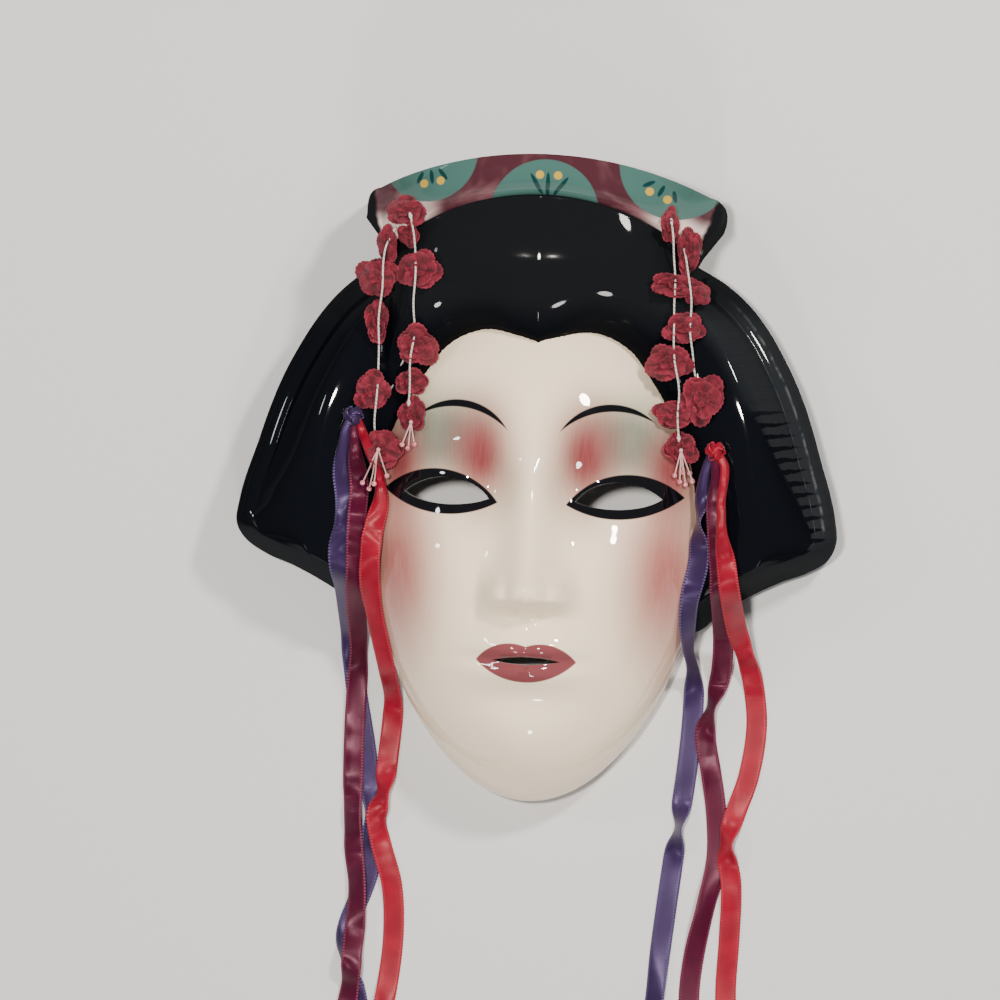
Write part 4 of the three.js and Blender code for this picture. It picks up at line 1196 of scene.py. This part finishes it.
def ribbon_rows(name, laid):
    """A satin band along its path: it leaves its knot rolled into a half tube and opens out, banks
    with what is below it, turns on its edge where it twists, and bears small loops on both edges."""
    knot = KNOTS[name.split("_")[0]]
    first = (mix(knot[0], RIBBONS[name][0][0], 0.4), knot[1] - 1.5)
    path, along = smooth_path([first, *RIBBONS[name]], RIBBON_STEP)
    shares = np.array([-1, -0.5, 0, 0.5, 1])
    half = RIBBON_WIDTH / 2
    lines = [drape(path[::3], along[::3], share * half, laid, 1.5, 1.5) for share in shares]
    lines = np.array([np.interp(along, along[::3], line) for line in lines])
    opened = ease(along, *OPENING.get(name, (2, 26)))
    lean = rounded_line(np.arctan(np.clip((lines[-1] - lines[0]) / RIBBON_WIDTH, -0.6, 0.6)), 8) * opened
    at, degrees, turn_reach = np.array(TURNS[name], float).T[..., None]
    turn = (np.radians(degrees) * bell((path[:, 1] - at) / (turn_reach / 2))).sum(axis=0)
    roll = lean + turn
    rest = (lines - shares[:, None] * np.tan(lean) * half).max(axis=0)
    swell = 0.3 * (1 + np.sin(along / 8.0)) * ease(-path[:, 1], 60, 110)
    curl = ROLLED * (1 - opened) + CUPPED
    tall = half * (1 - np.cos(curl)) / curl
    middle = rounded_over(rest + GAP + tall + np.abs(np.sin(turn)) * half + swell, 5)
    middle = soft_max(middle, surface_height(*np.reshape(knot, (2, 1)))[0] + 3.2 - 0.55 * along, 1.5)
    across = np.linspace(-1, 1, 11)
    edge = np.abs(across) == 1
    loop = PICOT_TALL * np.abs(np.sin(np.pi * along / PICOT))[:, None] * np.sign(across) * edge
    curl, roll = curl[:, None], roll[:, None]
    reach = (half - PICOT_TALL) * np.sin(curl * across) / curl + loop * np.cos(curl)
    drop = (half - PICOT_TALL) * (1 - np.cos(curl * across)) / curl
    side = np.c_[aside_of(path) * np.cos(roll), np.sin(roll)]
    face = np.c_[-aside_of(path) * np.sin(roll), np.cos(roll)]
    centre = np.c_[path, middle]
    flat = centre[:, None] + reach[..., None] * side[:, None]
    thick = np.where(edge, 0.05, RIBBON_THICK / 2)
    low, top = (flat + (half_way - drop)[..., None] * face[:, None] for half_way in (-thick, thick))
    return np.concatenate([low, top[:, ::-1]], axis=1), centre, along, across


def add_ribbon(name, material, laid):
    """A ribbon of its real length, from its knot to its cut end."""
    rows, centre, along, across = ribbon_rows(name, laid)
    around = np.r_[across, across[::-1]]
    piece = make_piece(
        f"satin_{name}", f"ribbon_{name}", f"satin_{name.split('_')[1]}", closed_skin(rows), [material],
        across=np.tile(around, len(rows)), along=np.r_[np.repeat(along, len(around)), 0, along[-1]])
    laid.extend([("band", rows[40::5, column] + (0, 0, 0.1), 1.3) for column in TOP_COLUMNS])


def tube_rows(centre, radius):
    """Rings around a path, square to its heading."""
    heading = unit(np.gradient(centre, axis=0))
    side = unit(np.cross(heading, (0, 0, 1.0)) + (1e-6, 0, 0))
    up = np.cross(heading, side)
    around = circle(THREAD_SIDES)[1] @ np.stack([side, up], axis=1)
    return centre[:, None] + np.reshape(radius, (-1, 1, 1)) * around


def joined(skins):
    """Several skins as one list of points and one of faces."""
    points, faces, first = [], [], 0
    for skin_points, skin_faces in skins:
        points.append(skin_points)
        faces.extend([tuple(np.asarray(face) + first) for face in skin_faces])
        first += len(skin_points)
    return np.vstack(points), faces


def add_knot(side, material, slot):
    """A ball of knotted ribbon: a flat band carried round in a three-lobed knot, its broad face
    always outwards, over a core and a stem through the wall."""
    x, y = KNOTS[side]
    rest = surface_height(*((x, y) + 2.6 * circle(8)[1]).T).max()
    middle = np.array((x, y, rest + 2.9))
    turn = np.linspace(0, 2 * np.pi, 181)
    lobes = np.sin(turn) + 2 * np.sin(2 * turn), np.cos(turn) - 2 * np.cos(2 * turn)
    centre = middle + np.stack([*lobes, -1.9 * np.sin(3 * turn)], axis=-1) * (1.02, 1.02, 0.9)
    heading, outward = unit(np.gradient(centre, axis=0)), unit(centre - middle)
    aside = unit(np.cross(heading, outward))
    lift = np.cross(heading, aside)
    broad, flat = circle(16)[1].T
    crumple = 0.22 * np.sin(2 * np.pi * broad[None, :] + 5 * turn[:, None])
    band = (centre[:, None] + 1.75 * broad[None, :, None] * aside[:, None]
            + (0.4 * flat[None, :] + crumple)[..., None] * lift[:, None])
    stem = np.array([(x, y, rest + height) for height in (-8, -4, 1.5)])[:, None]
    stem = stem + 1.6 * np.stack([broad, flat, 0 * flat], axis=-1)
    skin = joined([closed_skin(band), ball_skin(middle, 2.5, 4, 9, 16), closed_skin(stem)])
    make_piece(f"tied_knot_{side}", f"knot_{side}", slot, skin, [material],
               across=np.tile(0.97 * broad, len(band)), along=np.repeat(turn * 3.2, len(broad)))


def petal_layer(chance, size, lift, curl, spokes):
    """One ruffled disc of cloth, top and under side: petals by a five-fold wave of the rim, small
    scallops by a fast one, and ruffles whose height grows with the reach from the middle."""
    turn, ring = circle(spokes)
    reach = np.linspace(0.05, 1, 10)[:, None]
    phase = chance.uniform(0, 2 * np.pi, 7)
    lobes = 0.17 * np.abs(np.sin(2.5 * turn + phase[0])) ** 0.8 * reach**2
    scallops = 0.022 * reach**6 * np.sin(spokes / 4 * turn)
    uneven = 0.07 * np.sin(2 * turn + phase[1]) + 0.07 * np.sin(3 * turn + phase[2])
    radius = size * reach * (0.82 + lobes + scallops + uneven)
    ruffle = 0.62 * np.sin(4 * turn + phase[3] + 1.4 * reach)
    ruffle = ruffle + 0.38 * np.sin(7 * turn + phase[4] - 2 * reach) + 0.16 * np.sin(13 * turn + phase[5])
    crumple = 0.12 * np.sin(9 * reach + phase[6]) * np.sin(5 * turn + phase[1])
    height = lift + curl * reach**2 + 0.175 * size * reach**1.4 * ruffle + crumple
    top = np.concatenate([radius[..., None] * ring, height[..., None]], axis=-1)
    # low in the ruffles' troughs and near the middle: the key for the cloth's painted crease shade
    fold = (0.5 + 0.45 * ruffle) * (0.3 + 0.7 * reach)
    inner = np.r_[np.repeat(np.r_[reach[:, 0], reach[::-1, 0]], spokes), 0, 0]
    crease_shading = np.r_[fold.ravel(), fold[::-1].ravel(), 0, 0]
    points, faces = closed_skin(np.concatenate([top - (0, 0, 0.28), top[::-1]]))
    return points, faces, inner, crease_shading


def add_flower(side, number, facts, material, laid):
    """A cloth flower of three ruffled layers at its solid's height, squeezed or folded to its width
    and height, and tilted to what it lies on. Its petals rise over what stands higher than its
    plane and droop by most of the way down where nothing does."""
    x, y, width, height = facts
    node = f"flower_{side}_{number:02d}"
    chance = np.random.default_rng(100 * number + (7 if side == "left" else 31))
    share = PETAL_SHARES[:, None]
    cosine, sine = circle(24)[1].T
    across, up = share * width / 2 * cosine, share * height / 2 * sine
    below = height_below(x + across, y + up, [thing for thing in laid if thing[0] == "band"])
    heart = height_below(x + across, y + up, laid) - 1.4
    found = np.maximum(below, np.where(share < 0.6, heart, 0))
    found = np.maximum(found, found.max() - 9)
    slope = [(way * found).sum() / (way * way).sum() for way in (across, up)]
    slope = np.clip(slope, -MOST_SLOPE, MOST_SLOPE)
    tilted = slope[0] * across + slope[1] * up
    base = GAP + PETAL_ROOM + (found - tilted)[:3].max()
    middle = np.mean(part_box(node), axis=0)[2] * 1000
    base = np.clip(base, middle - 4.5, middle - 0.5)
    gap = below + 0.7 * ease(share, 0.2, 1) - (base - GAP - PETAL_ROOM + tilted)
    rise = np.max([np.roll(np.maximum(gap, 0), k, axis=1) for k in (-1, 0, 1)], axis=0)
    bent = rise + DROOP * np.clip(gap, -MOST_DROOP, 0) * ease(share, 0.3, 1)
    bent = np.mean([np.roll(bent, k, axis=1) for k in (-1, 0, 1)], axis=0)
    size = max(width, height) / 2
    squeeze = np.array([width, height]) / (2 * size)
    layers = [petal_layer(chance, size * part, *form) for part, *form in PETAL_LAYERS]
    points, faces = joined([layer[:2] for layer in layers])
    folded = np.abs(points[:, :2]) @ np.sqrt(1 - squeeze**2) * 0.45
    flat = points[:, :2] * squeeze
    drooped = polar_reading(bent, flat[:, 0] * 2 / width, flat[:, 1] * 2 / height)
    points = np.c_[flat + (x, y), base + points[:, 2] + folded + flat @ slope + drooped]
    reach, fold = (np.concatenate([layer[k] for layer in layers]) for k in (2, 3))
    make_piece(f"cloth_{node}", node, "crimson_cloth", (points, faces), [material], reach=reach, fold=fold)
    laid.append(("flower", (x, y), (width / 2, height / 2), base, slope, bent))


def add_string(name, material, laid):
    """A thread over the flowers that are sewn to it, thicker at its two end knots."""
    path, along = smooth_path(STRINGS[name], THREAD_STEP)
    height = drape(path[::2], along[::2], 0, laid, 0.5, 2.2, threaded=True)
    height = rounded_line(np.interp(along, along[::2], height), 4) + GAP + THREAD
    wander = 0.35 * np.sin(along / 6.5) + 0.2 * np.sin(along / 2.9)
    centre = np.c_[path[:, 0] + wander, path[:, 1], height]
    from_end = np.minimum(along, along[-1] - along)
    rows = tube_rows(centre, THREAD + 0.35 * bell((from_end - 1.2) / 0.5))
    piece = make_piece(
        f"thread_{name}", f"string_{name}", "white_thread", closed_skin(rows), [material],
        along=np.repeat(along, THREAD_SIDES), turn=np.tile(circle(THREAD_SIDES)[0], len(rows)))


def ball_skin(place, radius, first=5, rings=13, sides=18):
    """A ball of rings, the first of which lies some degrees from its pole."""
    tilt = np.radians(np.linspace(first, 180 - first, rings))[:, None, None]
    ring = np.c_[circle(sides)[1], np.zeros(sides)]
    return closed_skin(np.asarray(place) + radius * (np.sin(tilt) * ring - np.cos(tilt) * (0, 0, 1)))


def add_stamens(name, bead_material, thread_material, laid):
    """Threads from a flower's heart over its lower petals, each ending in a bead."""
    table = np.array(STAMENS[name], float)
    around = table[:, None] + BEAD * circle(8)[1]
    tops = height_below(around[..., 0], around[..., 1], laid).max(axis=1) + GAP + BEAD
    places = np.c_[table, tops]
    threads, beads = [], []
    for place in places[1:]:
        line = places[0] + (place - places[0]) * np.linspace(0, 1, 24)[:, None]
        rest = height_below(line[:, 0], line[:, 1], laid) + GAP + 0.3
        line[:, 2] = rounded_line(np.maximum(line[:, 2] - 0.4, rest), 2)
        threads.append(closed_skin(tube_rows(line, 0.25)))
        beads.append(ball_skin(line[-1], BEAD))
    threads.append(ball_skin(places[0] - (0, 0, 0.3), 0.7))
    skin = joined(threads + beads)
    chosen = np.arange(len(skin[1])) < sum(len(faces) for _, faces in threads)
    make_piece(f"stamen_bundle_{name}", f"stamens_{name}", "pearl_stamens", skin,
               [bead_material, thread_material], chosen, along=[], turn=[])


# The whole, cords first

place_camera()
light_scene()
board = new_material("floor", Roughness=0.75, Base_Color=(0.62, 0.62, 0.62, 1))[0]
corners = [(-3000, -3000, 0), (3000, -3000, 0), (3000, 3000, 0), (-3000, 3000, 0)]
add_mesh("floor", corners, [(0, 1, 2, 3)], [board])
satins = {
    "purple": satin("purple satin", (0.028, 0.014, 0.054), (0.11, 0.08, 0.19), (0.56, 0.46, 0.82)),
    "burgundy": satin("burgundy satin", (0.062, 0.003, 0.019), (0.20, 0.035, 0.07), (0.8, 0.42, 0.52)),
    "red": satin("red satin", (0.27, 0.005, 0.022), (0.42, 0.035, 0.055), (1, 0.4, 0.4)),
}
laid = []
for name in RIBBONS:
    add_ribbon(name, satins[name.split("_")[1]], laid)
cloth = crimson_cloth()
for side, flowers in FLOWERS.items():
    for number, facts in enumerate(flowers, 1):
        add_flower(side, number, facts, cloth, laid)
cotton = twisted_thread("white thread", (0.66, 0.61, 0.56))
for name in STRINGS:
    add_string(name, cotton, laid)
beads, pink_thread = pearl(), twisted_thread("stamen thread", (0.66, 0.37, 0.35))
for name in STAMENS:
    add_stamens(name, beads, pink_thread, laid)
add_knot("left", satins["purple"], "satin_purple")
add_knot("right", satins["red"], "satin_red")
make_disc_group()
make_ripple_group()
add_casting(painted_glaze(), plain_glaze())
